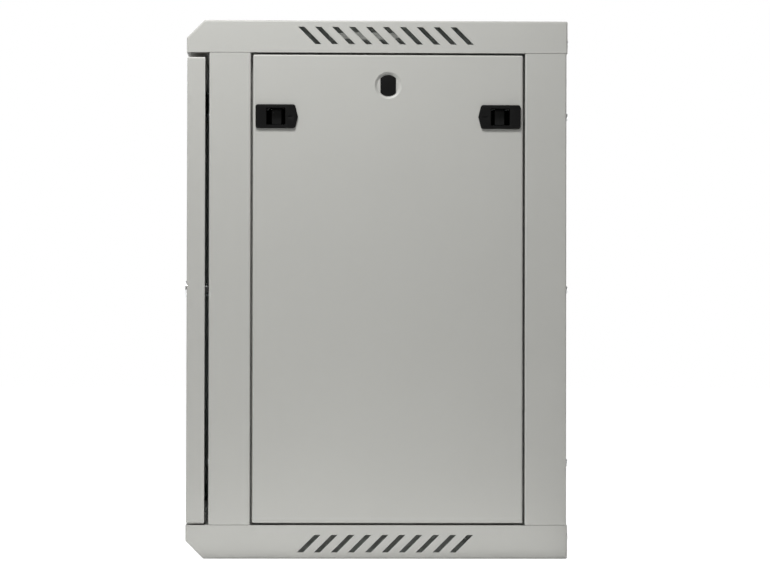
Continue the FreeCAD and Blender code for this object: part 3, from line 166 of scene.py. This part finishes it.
def place_group(tree, group, **inputs):
    node = tree.nodes.new("ShaderNodeGroup")
    node.node_tree = group
    plug_named(tree, node, inputs)
    return node.outputs


print("helpers ready")

# %% [markdown]
# ## Shared effects
# Three effects appear on more than one material. *Grain* is the fine relief of powder paint
# or moulded plastic, from noise at a chosen size. *Tone drift* is the slow change of shade
# over a large surface. *Sheet grain* is the stretched pattern that rolling and plating leave
# on zinc, and it also draws the hairline scratches in the chrome. Sizes go in as millimetres,
# so that they can be read against the real thing.

# %% Grain: a fine relief in two sizes
FINE_TO_COARSE = 3.7
GRAIN, grain_in, grain_out = open_group(
    "grain", [("Size mm", "Float", 1.0), ("Fine share", "Float", 0.3)], [("Height", "Float")])
place = add_node(GRAIN, "ShaderNodeTexCoord").outputs["Object"]
coarse_scale = math_node(GRAIN, "DIVIDE", 1 / MM, grain_in["Size mm"])
fine_scale = math_node(GRAIN, "MULTIPLY", coarse_scale, FINE_TO_COARSE)
coarse = add_node(GRAIN, "ShaderNodeTexNoise", Vector=place, Scale=coarse_scale, Detail=2.0).outputs["Fac"]
fine = add_node(GRAIN, "ShaderNodeTexNoise", Vector=place, Scale=fine_scale, Detail=1.0).outputs["Fac"]
height = math_node(GRAIN, "MULTIPLY_ADD", fine, grain_in["Fine share"], coarse)
GRAIN.links.new(height, grain_out["Height"])
print("group:", GRAIN.name)

# %% Tone drift: a slow change of shade and of gloss
DRIFT, drift_in, drift_out = open_group(
    "tone_drift",
    [("Colour", "Color", (0.5, 0.5, 0.5, 1.0)), ("Size mm", "Float", 120.0), ("Amount", "Float", 0.03),
     ("Roughness", "Float", 0.5), ("Gloss change", "Float", 0.05)],
    [("Colour", "Color"), ("Roughness", "Float")])
place = add_node(DRIFT, "ShaderNodeTexCoord").outputs["Object"]
drift_scale = math_node(DRIFT, "DIVIDE", 1 / MM, drift_in["Size mm"])
cloud = add_node(DRIFT, "ShaderNodeTexNoise", Vector=place, Scale=drift_scale, Detail=4.0).outputs["Fac"]
wipe = add_node(DRIFT, "ShaderNodeTexNoise", Vector=place, Scale=drift_scale, Detail=6.0, Distortion=1.5)
swing = math_node(DRIFT, "SUBTRACT", cloud, 0.5)
level = math_node(DRIFT, "MULTIPLY_ADD", swing, drift_in["Amount"], 1.0)
shade = add_node(DRIFT, "ShaderNodeVectorMath", {"operation": "SCALE"})
DRIFT.links.new(drift_in["Colour"], shade.inputs[0])
DRIFT.links.new(level, shade.inputs["Scale"])
DRIFT.links.new(shade.outputs[0], drift_out["Colour"])
wipe_swing = math_node(DRIFT, "SUBTRACT", wipe.outputs["Fac"], 0.5)
gloss = math_node(DRIFT, "MULTIPLY_ADD", wipe_swing, drift_in["Gloss change"], drift_in["Roughness"])
DRIFT.links.new(gloss, drift_out["Roughness"])
print("group:", DRIFT.name)

# %% Sheet grain: long fine lines, and a faint crystal pattern under them
SHEET_GRAIN, sheet_in, sheet_out = open_group(
    "sheet_grain",
    [("Stretch", "Vector", (1.0, 1.0, 0.04)), ("Line mm", "Float", 0.5), ("Crystal mm", "Float", 6.0)],
    [("Lines", "Float"), ("Crystals", "Float")])
place = add_node(SHEET_GRAIN, "ShaderNodeTexCoord").outputs["Object"]
drawn_out = add_node(SHEET_GRAIN, "ShaderNodeVectorMath", {"operation": "MULTIPLY"})
SHEET_GRAIN.links.new(place, drawn_out.inputs[0])
SHEET_GRAIN.links.new(sheet_in["Stretch"], drawn_out.inputs[1])
line_scale = math_node(SHEET_GRAIN, "DIVIDE", 1 / MM, sheet_in["Line mm"])
lines = add_node(SHEET_GRAIN, "ShaderNodeTexNoise", Vector=drawn_out.outputs[0],
                 Scale=line_scale, Detail=3.0)
crystal_scale = math_node(SHEET_GRAIN, "DIVIDE", 1 / MM, sheet_in["Crystal mm"])
crystals = add_node(SHEET_GRAIN, "ShaderNodeTexVoronoi", Vector=place, Scale=crystal_scale)
crystal_tone = add_node(SHEET_GRAIN, "ShaderNodeRGBToBW", Color=crystals.outputs["Color"])
SHEET_GRAIN.links.new(lines.outputs["Fac"], sheet_out["Lines"])
SHEET_GRAIN.links.new(crystal_tone.outputs[0], sheet_out["Crystals"])
print("group:", SHEET_GRAIN.name)


# %% [markdown]
# ## Starting a finish
# Each material starts from a tree with a Principled BSDF. All but the glass and the floor
# then take a normal that first softens the sharp CAD edges, and then takes the relief. Real
# folded sheet and real mouldings have no perfect corners, and a small Bevel radius catches
# the light there.

# %% Open a material, and give it its relief
def open_material(title):
    material = bpy.data.materials.new(title)
    material.use_nodes = True
    tree = material.node_tree
    surface = tree.nodes["Principled BSDF"]
    return material, tree, surface


def wear_tone(tree, surface, **drift):
    """Takes the colour and the roughness from the tone drift group."""
    tone = place_group(tree, DRIFT, **drift)
    tree.links.new(tone["Colour"], surface.inputs["Base Color"])
    tree.links.new(tone["Roughness"], surface.inputs["Roughness"])


def give_relief(tree, surface, relief, depth_mm, edge_mm):
    """Rounds the edges by edge_mm, then raises the relief by depth_mm."""
    edges = add_node(tree, "ShaderNodeBevel", {"samples": 4}, Radius=edge_mm * MM)
    bump = add_node(tree, "ShaderNodeBump", Strength=1.0, Distance=depth_mm * MM,
                    Height=relief, Normal=edges.outputs["Normal"])
    tree.links.new(bump.outputs["Normal"], surface.inputs["Normal"])


print("material starters ready")

# %% [markdown]
# ## Grey powder coat
# The outer sheets are sprayed with powder and baked. The coat is a warm light grey with a
# soft sheen; close to, it has the fine skin of an orange. We take the shade from the Tone
# drift group so that a large panel isn't one dead value, and the skin from the Grain group.

# %% The paint
PAINT_SHADE = (0.455, 0.455, 0.430, 1.0)
PAINT, tree, surface = open_material("grey_powder_coat")
wear_tone(tree, surface, Colour=PAINT_SHADE, Size_mm=160.0, Amount=0.04,
          Roughness=0.46, Gloss_change=0.10)
surface.inputs["Specular IOR Level"].default_value = 0.4
skin = place_group(tree, GRAIN, Size_mm=1.1, Fine_share=0.35)
give_relief(tree, surface, skin["Height"], 0.035, 0.5)
print("finish:", PAINT.name)

# %% [markdown]
# ## Black plastic
# The latches and the plugs are moulded in black plastic. Its skin is a fine texture, and it
# is dull. The finger pieces are of the same plastic, but fingers have rubbed their skin flat,
# and a smoother black is a deeper black.

# %% The plastic, as moulded and as worn smooth
PLASTIC_SHADE = (0.0042, 0.0042, 0.0041, 1.0)


def black_plastic(title, roughness, gloss_change, skin_depth_mm):
    material, tree, surface = open_material(title)
    wear_tone(tree, surface, Colour=PLASTIC_SHADE, Size_mm=14.0, Amount=0.35,
              Roughness=roughness, Gloss_change=gloss_change)
    surface.inputs["Specular IOR Level"].default_value = 0.12
    skin = place_group(tree, GRAIN, Size_mm=0.35, Fine_share=0.5)
    give_relief(tree, surface, skin["Height"], skin_depth_mm, 0.25)
    return material


PLASTIC = black_plastic("black_moulded_plastic", 0.48, 0.22, 0.03)
WORN_PLASTIC = black_plastic("black_worn_plastic", 0.24, 0.10, 0.008)
print("finishes:", PLASTIC.name, WORN_PLASTIC.name)


# %% [markdown]
# ## Zinc
# The rails and brackets are zinc plated sheet, and the fasteners are zinc plated steel. Both
# are metal with the same grain: faint rolling lines, and soft patches where the plating took
# differently. One function makes both, with longer lines and larger patches on the sheet.

# %% Zinc plate, on sheet and on fasteners
def zinc_finish(title, shade, stretch, line_mm, crystal_mm, roughness, edge_mm):
    material, tree, surface = open_material(title)
    grain = place_group(tree, SHEET_GRAIN, Stretch=stretch, Line_mm=line_mm, Crystal_mm=crystal_mm)
    tone = place_group(tree, DRIFT, Colour=shade, Size_mm=60.0, Amount=0.12,
                       Roughness=roughness, Gloss_change=0.15)
    patch = math_node(tree, "MULTIPLY_ADD", grain["Crystals"], 0.10, 0.95)
    colour = add_node(tree, "ShaderNodeVectorMath", {"operation": "SCALE"})
    tree.links.new(tone["Colour"], colour.inputs[0])
    tree.links.new(patch, colour.inputs["Scale"])
    tree.links.new(colour.outputs[0], surface.inputs["Base Color"])
    scatter = math_node(tree, "MULTIPLY_ADD", grain["Lines"], 0.12, tone["Roughness"])
    tree.links.new(scatter, surface.inputs["Roughness"])
    surface.inputs["Metallic"].default_value = 1.0
    give_relief(tree, surface, grain["Lines"], 0.012, edge_mm)
    return material


ZINC_SHEET = zinc_finish("zinc_sheet", (0.60, 0.61, 0.62, 1.0), (1.0, 1.0, 0.05), 0.6, 7.0, 0.34, 0.3)
FASTENER = zinc_finish("zinc_fastener", (0.56, 0.57, 0.57, 1.0), (1.0, 1.0, 1.0), 0.8, 2.5, 0.26, 0.15)
print("finishes:", ZINC_SHEET.name, FASTENER.name)

# %% [markdown]
# ## Glass, foam, nylon and chrome
# The door's pane is toughened glass with a light grey tint. Glass keeps a plain Metallic and
# Transmission, and its tint comes from the colour. The strip behind it is open-cell foam, the
# washer is white nylon, and the lock is polished chrome with hairline scratches.

# %% The pane
GLASS_SHADE = (0.70, 0.74, 0.75, 1.0)
GLASS, tree, surface = open_material("tinted_glass")
surface.inputs["Transmission Weight"].default_value = 1.0
surface.inputs["IOR"].default_value = 1.5
wear_tone(tree, surface, Colour=GLASS_SHADE, Size_mm=200.0, Amount=0.01,
          Roughness=0.012, Gloss_change=0.02)
print("finish:", GLASS.name)

# %% The foam strip
FOAM_CELL_SCALE = 1400.0
FOAM, tree, surface = open_material("black_foam")
place = add_node(tree, "ShaderNodeTexCoord").outputs["Object"]
cells = add_node(tree, "ShaderNodeTexVoronoi", Scale=FOAM_CELL_SCALE, Vector=place)
wear_tone(tree, surface, Colour=(0.018, 0.018, 0.019, 1.0), Size_mm=20.0, Amount=0.3,
          Roughness=0.9, Gloss_change=0.1)
give_relief(tree, surface, cells.outputs["Distance"], 0.2, 0.2)
print("finish:", FOAM.name)

# %% The washer
NYLON, tree, surface = open_material("white_nylon")
wear_tone(tree, surface, Colour=(0.72, 0.70, 0.64, 1.0), Size_mm=6.0, Amount=0.06,
          Roughness=0.42, Gloss_change=0.15)
skin = place_group(tree, GRAIN, Size_mm=0.5, Fine_share=0.4)
give_relief(tree, surface, skin["Height"], 0.02, 0.3)
print("finish:", NYLON.name)

# %% The chrome
CHROME, tree, surface = open_material("lock_chrome")
wear_tone(tree, surface, Colour=(0.74, 0.75, 0.76, 1.0), Size_mm=8.0, Amount=0.05,
          Roughness=0.12, Gloss_change=0.12)
scratches = place_group(tree, SHEET_GRAIN, Stretch=(1.0, 0.05, 0.12), Line_mm=0.25, Crystal_mm=3.0)
surface.inputs["Metallic"].default_value = 1.0
give_relief(tree, surface, scratches["Lines"], 0.004, 0.25)
print("finish:", CHROME.name)

# %% [markdown]
# ## Putting the finishes on the CAD nodes
# The record says which material slot each node takes its finish from, so one table from slot
# to material dresses them all. The nodes' meshes and places aren't touched.

# %% Dress every node
FINISHES = {"grey_paint": PAINT, "black_plastic": PLASTIC, "zinc_sheet": ZINC_SHEET,
            "fastener_steel": FASTENER, "tinted_glass": GLASS, "foam_seal": FOAM,
            "nylon": NYLON, "lock_chrome": CHROME}
NODE_SLOTS = {row["node"]: row["material_slot"] for row in frame["record"]["subparts"]}
for name, item in frame["nodes"].items():
    item.data.materials.clear()
    item.data.materials.append(FINISHES[NODE_SLOTS[name]])
print("dressed:", len(NODE_SLOTS), "nodes")


# %% [markdown]
# ## New pieces
# A new piece is a mesh that stands for a CAD node: it rides on the same body and takes the
# same slot. This helper does the bookkeeping, and shades the piece smooth with its sharp
# edges kept.

# %% Stand a mesh in for a node
BEHAVIOUR = frame["record"]["behaviour"]
NODE_BODY = {node: body for body, nodes in BEHAVIOUR["bodies"].items() for node in nodes}
SMOOTH_LIMIT = math.radians(32)


def stand_for(node, title, mesh, finish=None):
    """Links the mesh as a piece that replaces a node, in the node's finish or in another."""
    mesh.materials.clear()
    mesh.materials.append(finish or FINISHES[NODE_SLOTS[node]])
    mesh.shade_smooth()
    mesh.set_sharp_from_angle(angle=SMOOTH_LIMIT)
    piece = bpy.data.objects.new(title, mesh)
    bpy.context.scene.collection.objects.link(piece)
    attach(piece, NODE_BODY[node])
    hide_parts(node)
    return piece


def finished_mesh(title, mesh, *modifiers):
    """The mesh after the modifiers: each is (kind, settings)."""
    holder = bpy.data.objects.new(title, mesh)
    bpy.context.scene.collection.objects.link(holder)
    for kind, settings in modifiers:
        modifier = holder.modifiers.new(kind, kind)
        for name, value in settings.items():
            setattr(modifier, name, value)
    graph = bpy.context.evaluated_depsgraph_get()
    done = bpy.data.meshes.new_from_object(holder.evaluated_get(graph))
    bpy.data.objects.remove(holder)
    done.name = title
    return done


print("bodies:", sorted(set(NODE_BODY.values())))


# %% [markdown]
# ## Fasteners
# The CAD solids are plain turned and hexagonal forms. The real pan head screws have a rounded
# head with a cross recess, and the nuts and bolt heads have their corners turned off to a
# cone. Both are bodies of revolution in part, so one helper spins a profile of radius and
# height; for a hexagon it keeps whichever is smaller, the cone or the flats.

# %% Spin a profile, round or hexagonal
def spun(profile, steps=48, across=None):
    """A closed solid round Z from (radius, height) points. Across limits it to a hexagon."""
    form = bmesh.new()
    rings = []
    for radius, rise in profile:
        ring = []
        for step in range(steps):
            turn = 2 * math.pi * step / steps
            reach = radius
            if across:
                to_flat = (turn + math.pi / 6) % (math.pi / 3) - math.pi / 6
                reach = min(radius, across / 2 / math.cos(to_flat))
            ring.append(form.verts.new((reach * math.cos(turn), reach * math.sin(turn), rise)))
        rings.append(ring)
    for low, high in zip(rings, rings[1:]):
        for step in range(steps):
            after = (step + 1) % steps
            form.faces.new((low[step], low[after], high[after], high[step]))
    form.faces.new(reversed(rings[0]))
    form.faces.new(rings[-1])
    return form


def as_mesh(form, title):
    bmesh.ops.recalc_face_normals(form, faces=form.faces)
    mesh = bpy.data.meshes.new(title)
    form.to_mesh(mesh)
    form.free()
    return mesh


print("spun forms ready")

# %% The cross recess, as a cutter
HEAD_RADIUS = 4.5 * MM
SHANK_RADIUS = 2.0 * MM
GRIP = 8.0 * MM
RECESS_REACH = 2.3 * MM
RECESS_WIDTH = 1.1 * MM
BLADE_TAPER = (0.35, 0.6)
BLADE_ABOVE = 0.5 * MM
BLOCK_FACES = ((3, 2, 1, 0), (4, 5, 6, 7), (0, 1, 5, 4), (1, 2, 6, 5), (2, 3, 7, 6), (3, 0, 4, 7))


def cross_cutter(top, depth):
    """Two tapered blades that cross, narrow at the bottom of the recess."""
    form = bmesh.new()
    length_share, width_share = BLADE_TAPER
    for long_axis in (0, 1):
        corners = []
        for rise, reach, width in ((top - depth, RECESS_REACH * length_share, RECESS_WIDTH * width_share),
                                   (top + BLADE_ABOVE, RECESS_REACH, RECESS_WIDTH)):
            for u, v in ((-1, -1), (1, -1), (1, 1), (-1, 1)):
                along, across = u * reach, v * width / 2
                point = (along, across, rise) if long_axis == 0 else (-across, along, rise)
                corners.append(form.verts.new(point))
        for face in BLOCK_FACES:
            form.faces.new([corners[corner] for corner in face])
    return as_mesh(form, "cross_cutter")


print("recess width in mm:", RECESS_WIDTH / MM)


# %% A pan head screw that points along Z
CROWN_SHARE = 0.75
CROWN_INSET = 1.6 * MM
CROWN_STEPS = 6
POINT_SHARE = 0.3
RECESS_DEPTH = 1.2 * MM
RECESS_SHARE = 0.75


def pan_head_screw(rise, grip=GRIP):
    """A screw with its head's seat at Z 0 and its head above."""
    round_off = min(rise, HEAD_RADIUS) * CROWN_SHARE
    profile = [(SHANK_RADIUS * (1 - POINT_SHARE), -grip),
               (SHANK_RADIUS, -grip + SHANK_RADIUS * POINT_SHARE),
               (SHANK_RADIUS, 0), (HEAD_RADIUS, 0), (HEAD_RADIUS, rise - round_off)]
    for step in range(1, CROWN_STEPS + 1):
        turn = math.pi / 2 * step / CROWN_STEPS
        radius = HEAD_RADIUS - CROWN_INSET * (1 - math.cos(turn))
        profile.append((radius, rise - round_off * (1 - math.sin(turn))))
    screw = as_mesh(spun(profile), "pan_head_screw")
    depth = min(RECESS_DEPTH, rise * RECESS_SHARE)
    cutter = bpy.data.objects.new("cross_cutter", cross_cutter(rise, depth))
    bpy.context.scene.collection.objects.link(cutter)
    cut = ("BOOLEAN", {"object": cutter, "operation": "DIFFERENCE", "use_self": True})
    done = finished_mesh("pan_head_screw", screw, cut)
    bpy.data.objects.remove(cutter)
    return done


def set_of(title, mesh, places):
    """One mesh with a copy of the fastener at each place (a matrix)."""
    form = bmesh.new()
    for place in places:
        copy = mesh.copy()
        copy.transform(place)
        form.from_mesh(copy)
        bpy.data.meshes.remove(copy)
    return as_mesh(form, title)


print("pan head screw ready, head in mm:", 2 * HEAD_RADIUS / MM)

# %% [markdown]
# ## Screws in their holes
# Each set of screws is one node, and its box says where the heads are: the outermost heads
# touch the box. So the places are worked out from the box, the head's radius and the count
# along Z. Screws are never all turned the same way, so each gets its own turn.

# %% Screws along Y
TURNS = (12, 47, 80, 33, 64, 21, 5, 58)
POINT_TO_WALL = Matrix.Rotation(math.radians(-90), 4, "X")
POINT_TO_DOOR = Matrix.Rotation(math.radians(90), 4, "X")


def screws_along_y(node, rise, towards_wall, rows):
    low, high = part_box(node)
    seat = high.y - rise if towards_wall else low.y + rise
    heading = POINT_TO_WALL if towards_wall else POINT_TO_DOOR
    places = []
    for x in (low.x + HEAD_RADIUS, high.x - HEAD_RADIUS):
        for row in range(rows):
            z = low.z + HEAD_RADIUS + (high.z - low.z - 2 * HEAD_RADIUS) * row / (rows - 1)
            turn = Matrix.Rotation(math.radians(TURNS[len(places)]), 4, "Z")
            places.append(Matrix.Translation((x, seat, z)) @ heading @ turn)
    return stand_for(node, f"{node}_cross_head", set_of(node, pan_head_screw(rise), places))


HEAD_RISE = 2.0 * MM
FLAT_HEAD_RISE = 1.2 * MM
for node, rise, towards_wall, rows in (("back_panel_screws", HEAD_RISE, True, 3),
                                       ("cover_rear_screws", FLAT_HEAD_RISE, True, 2),
                                       ("cover_front_screws", HEAD_RISE, True, 2),
                                       ("bracket_screws", HEAD_RISE, False, 2)):
    print("screws:", screws_along_y(node, rise, towards_wall, rows).name)

# %% Screws that hold the cable entry plates
PLATE_GRIP = 2.1 * MM
low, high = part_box("cable_plate_screws")
places = []
for x in (low.x + HEAD_RADIUS, high.x - HEAD_RADIUS):
    for y in (low.y + HEAD_RADIUS, high.y - HEAD_RADIUS):
        for seat, flip in ((low.z + PLATE_GRIP, 0), (high.z - PLATE_GRIP, 180)):
            turn = Matrix.Rotation(math.radians(TURNS[len(places)]), 4, "Z")
            heading = Matrix.Rotation(math.radians(flip), 4, "X")
            places.append(Matrix.Translation((x, y, seat)) @ heading @ turn)
plate_screws = stand_for("cable_plate_screws", "cable_plate_screws_cross_head",
                         set_of("cable_plate_screws", pan_head_screw(HEAD_RISE, PLATE_GRIP), places))
print("screws:", plate_screws.name, len(places))

# %% [markdown]
# ## Hexagon bolts and nuts
# The rails hang on bolts through the brackets' slots. A hexagon head is a prism whose corners
# are cut by a cone, which leaves the curved edges everyone knows from a real nut. The same
# spun form gives it, with its radius running out past the flats and back.

# %% A hexagon with turned-off corners
TURNED_SHARE = 0.49
CONE_SLOPE = 0.58
HEXAGON_STEPS = 72
ROD_STEPS = 32


def hexagon(across, low, high, both_ends=True):
    corner = across / math.sqrt(3)
    turned = across * TURNED_SHARE
    slope = (corner - turned) * CONE_SLOPE
    start = [(turned, low), (corner, low + slope)] if both_ends else [(corner, low)]
    profile = start + [(corner, high - slope), (turned, high)]
    return as_mesh(spun(profile, steps=HEXAGON_STEPS, across=across), "hexagon")


def rod(radius, low, high, bevel):
    profile = [(radius - bevel, low), (radius, low + bevel),
               (radius, high - bevel), (radius - bevel, high)]
    return as_mesh(spun(profile, steps=ROD_STEPS), "rod")


def together(*meshes):
    form = bmesh.new()
    for mesh in meshes:
        form.from_mesh(mesh)
        bpy.data.meshes.remove(mesh)
    return as_mesh(form, "fastener")


print("hexagon helper ready")

# %% The rails' bolts and nuts
FLATS_LEVEL = Matrix.Rotation(math.radians(90), 4, "Z")
BOLT_ACROSS, BOLT_RADIUS, BOLT_HEAD_RISE = 10.0 * MM, 3.0 * MM, 4.0 * MM
NUT_RISE, BOLT_END, BOLT_BEVEL = 5.0 * MM, 1.0 * MM, 0.4 * MM
for end in ("front", "rear"):
    for side, hand in (("right", 1), ("left", -1)):
        node = f"rail_clamps_{end}_{side}"
        low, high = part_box(node)
        length = high.x - low.x
        bolt = together(hexagon(BOLT_ACROSS, 0, BOLT_HEAD_RISE, both_ends=False),
                        rod(BOLT_RADIUS, BOLT_HEAD_RISE, length, BOLT_BEVEL),
                        hexagon(BOLT_ACROSS, length - BOLT_END - NUT_RISE, length - BOLT_END))
        head_x = low.x if hand > 0 else high.x
        heading = Matrix.Rotation(math.radians(90 * hand), 4, "Y") @ FLATS_LEVEL
        middle = (low.y + high.y) / 2
        places = [Matrix.Translation((head_x, middle, z)) @ heading
                  for z in (low.z + BOLT_ACROSS / 2, high.z - BOLT_ACROSS / 2)]
        stand_for(node, f"{node}_hexagon", set_of(node, bolt, places))
print("rail bolts made")

# %% The nuts behind the glass clips
CLIP_NUT, CLIP_NUT_RISE, CLIP_STUD = 7.0 * MM, 3.0 * MM, 2.0 * MM
CLIP_BEVEL = 0.3 * MM
CLIP_ROWS = 4
low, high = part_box("clip_nuts")
corner = CLIP_NUT / math.sqrt(3)
nut = together(hexagon(CLIP_NUT, 0, CLIP_NUT_RISE),
               rod(CLIP_STUD, CLIP_NUT_RISE / 2, 2 * CLIP_NUT_RISE, CLIP_BEVEL))
places = []
for x in (low.x + corner, high.x - corner):
    for row in range(CLIP_ROWS):
        z = low.z + CLIP_NUT / 2 + (high.z - low.z - CLIP_NUT) * row / (CLIP_ROWS - 1)
        places.append(Matrix.Translation((x, low.y, z)) @ POINT_TO_WALL)
stand_for("clip_nuts", "clip_nuts_hexagon", set_of("clip_nuts", nut, places))
print("clip nuts:", len(places))

# %% [markdown]
# ## Mouldings
# The latches, their finger pieces and the plug are moulded, so their edges are rounded by
# some tenths of a millimetre. We copy the node's mesh, join its flat triangles into whole
# faces, and let a Bevel modifier round what is left. The lock's body and cam and the upper
# hinge pin get the same soft edges. Behind the tip of each latch plate is a short sunk dash
# that shows which way the latch works; a Boolean cuts it.

# %% A copy of a node with rounded edges
FLAT = math.radians(1)
SHARP = math.radians(30)
WELD = 0.001 * MM
ROUND_STEPS = 2


def rounded_copy(node, width_mm, *first_modifiers):
    mesh = frame["nodes"][node].data.copy()
    form = bmesh.new()
    form.from_mesh(mesh)
    bmesh.ops.remove_doubles(form, verts=form.verts, dist=WELD)
    bmesh.ops.dissolve_limit(form, angle_limit=FLAT, verts=form.verts, edges=form.edges)
    form.to_mesh(mesh)
    form.free()
    rounding = ("BEVEL", {"width": width_mm * MM, "segments": ROUND_STEPS, "limit_method": "ANGLE",
                          "angle_limit": SHARP, "harden_normals": False})
    return finished_mesh(f"{node}_mesh", mesh, *first_modifiers, rounding)


print("rounding helper ready")

# %% The four latches, each with its sunk dash
DASH_LENGTH, DASH_HEIGHT, DASH_DEPTH = 7.0 * MM, 1.5 * MM, 1.0 * MM
DASH_FROM_TIP = 8.5 * MM
DASH_END_STEPS = 6


def dash_cutter(node):
    """A round-ended bar that sinks into the latch plate's face, short of its pointed end."""
    low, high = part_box(node)
    hand = 1 if high.x > 0 else -1
    face = high.x if hand > 0 else low.x
    tip_sign = 1 if "front" in node else -1
    tip = high.y if tip_sign > 0 else low.y
    middle = Vector((face, tip - tip_sign * DASH_FROM_TIP, (low.z + high.z) / 2))
    form = bmesh.new()
    outline = []
    for end in (1, -1):
        for step in range(DASH_END_STEPS + 1):
            turn = math.pi * (step / DASH_END_STEPS - 0.5)
            y = end * ((DASH_LENGTH - DASH_HEIGHT) / 2 + DASH_HEIGHT / 2 * math.cos(turn))
            outline.append((y, end * DASH_HEIGHT / 2 * math.sin(turn)))
    inner = [form.verts.new(middle + Vector((-hand * DASH_DEPTH, y, z))) for y, z in outline]
    outer = [form.verts.new(middle + Vector((hand * DASH_DEPTH, y, z))) for y, z in outline]
    form.faces.new(inner)
    form.faces.new(reversed(outer))
    for step in range(len(outline)):
        after = (step + 1) % len(outline)
        form.faces.new((inner[step], outer[step], outer[after], inner[after]))
    return as_mesh(form, "dash")


for node in [name for name in frame["nodes"] if name.startswith("latch_housing")]:
    cutter = bpy.data.objects.new("dash", dash_cutter(node))
    bpy.context.scene.collection.objects.link(cutter)
    cut = ("BOOLEAN", {"object": cutter, "operation": "DIFFERENCE"})
    stand_for(node, f"{node}_moulding", rounded_copy(node, 0.3, cut))
    bpy.data.objects.remove(cutter)
print("latches made")

# %% Finger pieces, plugs and the lock
for node in [name for name in frame["nodes"] if name.startswith("latch_slider")]:
    stand_for(node, f"{node}_rounded", rounded_copy(node, 0.5), WORN_PLASTIC)
for node, width_mm in (("panel_plug_right", 0.2), ("panel_plug_left", 0.2), ("lock_body", 0.25),
                       ("lock_cam", 0.3), ("hinge_pin_upper", 0.3)):
    stand_for(node, f"{node}_rounded", rounded_copy(node, width_mm))
print("mouldings made")

# %% [markdown]
# ## The hinge spring
# Pulling the upper hinge pin down shortens the coil spring under its collar. Here the spring
# is a smooth shaded copy of its node with a mesh of its own, on the node's body; nothing here
# shortens it.

# %% The spring, a copy of its node
spring = stand_for("hinge_spring", "hinge_spring_coil", frame["nodes"]["hinge_spring"].data.copy())
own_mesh(spring)

# %% [markdown]
# ## Floor and light
# The floor looks white to the camera and in gloss and glass, and keeps a little of the
# shadow. A soft key lamp stands high up on the side that the camera faces, towards the
# door, so the shade falls gently from the door to the wall. A long low strip just above
# the floor stands for the light that a pale floor throws back up. Two large lamps, ahead
# and behind, keep the other sides readable, and the world adds a weak, even light.

# %% The floor
FLOOR_REACH = 14.0
FLOOR_DROP = 0.3 * MM
FLOOR_GLOW = 0.82
FLOOR_WHITE = 1.22
floor_form = bmesh.new()
bmesh.ops.create_grid(floor_form, x_segments=8, y_segments=8, size=FLOOR_REACH)
floor = bpy.data.objects.new("studio_floor", as_mesh(floor_form, "studio_floor"))
bpy.context.scene.collection.objects.link(floor)
floor.location.z = CAD_LOW.z - FLOOR_DROP
floor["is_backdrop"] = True

FLOOR_PAINT, tree, surface = open_material("floor_paint")
surface.inputs["Roughness"].default_value = 0.9
tone = place_group(tree, DRIFT, Colour=(0.82, 0.82, 0.82, 1.0), Size_mm=900.0, Amount=0.01)
tree.links.new(tone["Colour"], surface.inputs["Base Color"])
glow = add_node(tree, "ShaderNodeEmission", Color=(1.0, 1.0, 1.0, 1.0), Strength=FLOOR_WHITE)
path = add_node(tree, "ShaderNodeLightPath").outputs
seen = math_node(tree, "MAXIMUM", path["Is Camera Ray"],
                 math_node(tree, "MAXIMUM", path["Is Glossy Ray"], path["Is Transmission Ray"]))
share = math_node(tree, "MULTIPLY", seen, FLOOR_GLOW)
mix = add_node(tree, "ShaderNodeMixShader", Fac=share)
tree.links.new(surface.outputs[0], mix.inputs[1])
tree.links.new(glow.outputs[0], mix.inputs[2])
tree.links.new(mix.outputs[0], tree.nodes["Material Output"].inputs["Surface"])
floor.data.materials.append(FLOOR_PAINT)
print("floor at", round(floor.location.z / MM, 1), "mm")

# %% The world
WORLD_LIGHT = 0.15
world = bpy.data.worlds.new("studio")
bpy.context.scene.world = world
world.use_nodes = True
tree = world.node_tree
path = add_node(tree, "ShaderNodeLightPath").outputs
seen = math_node(tree, "MAXIMUM", path["Is Camera Ray"], path["Is Transmission Ray"])
strength = math_node(tree, "MULTIPLY_ADD", seen, 1.0 - WORLD_LIGHT, WORLD_LIGHT)
backdrop = tree.nodes["Background"]
backdrop.inputs["Color"].default_value = (1.0, 1.0, 1.0, 1.0)
tree.links.new(strength, backdrop.inputs["Strength"])
print("world light:", WORLD_LIGHT)


# %% The lamps
STRIP_RISE = 1.0 * MM


def soft_lamp(title, place, towards, size, power):
    """A rectangular lamp; size in metres, power in watts. The camera doesn't see it."""
    data = bpy.data.lights.new(title, "AREA")
    data.shape = "RECTANGLE"
    data.size, data.size_y = size
    data.energy = power
    lamp = bpy.data.objects.new(title, data)
    bpy.context.scene.collection.objects.link(lamp)
    lamp.location = place
    lamp.visible_camera = False
    lamp.rotation_euler = (Vector(towards) - Vector(place)).to_track_quat("-Z", "Y").to_euler()
    return lamp


soft_lamp("key", (0.95, -0.55, 1.15), (0.55, -0.25, -0.3), (0.35, 0.35), 18.9)
soft_lamp("floor_bounce", (0.405, -0.25, CAD_LOW.z + STRIP_RISE), (0.405, -0.25, 0.0), (0.19, 0.5), 0.226)
soft_lamp("front_fill", (-1.4, -2.2, 0.9), (0.0, -0.4, 0.0), (1.2, 1.2), 30.0)
soft_lamp("rear_fill", (-1.2, 2.4, 0.35), (0.0, 0.0, 0.0), (1.4, 0.9), 37.0)
print("lamps:", len(bpy.data.lights))

# %% Finish
bpy.context.scene.view_settings.view_transform = "Standard"
low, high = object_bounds()
print("visual box in mm:", [round(side / MM, 1) for side in high - low])
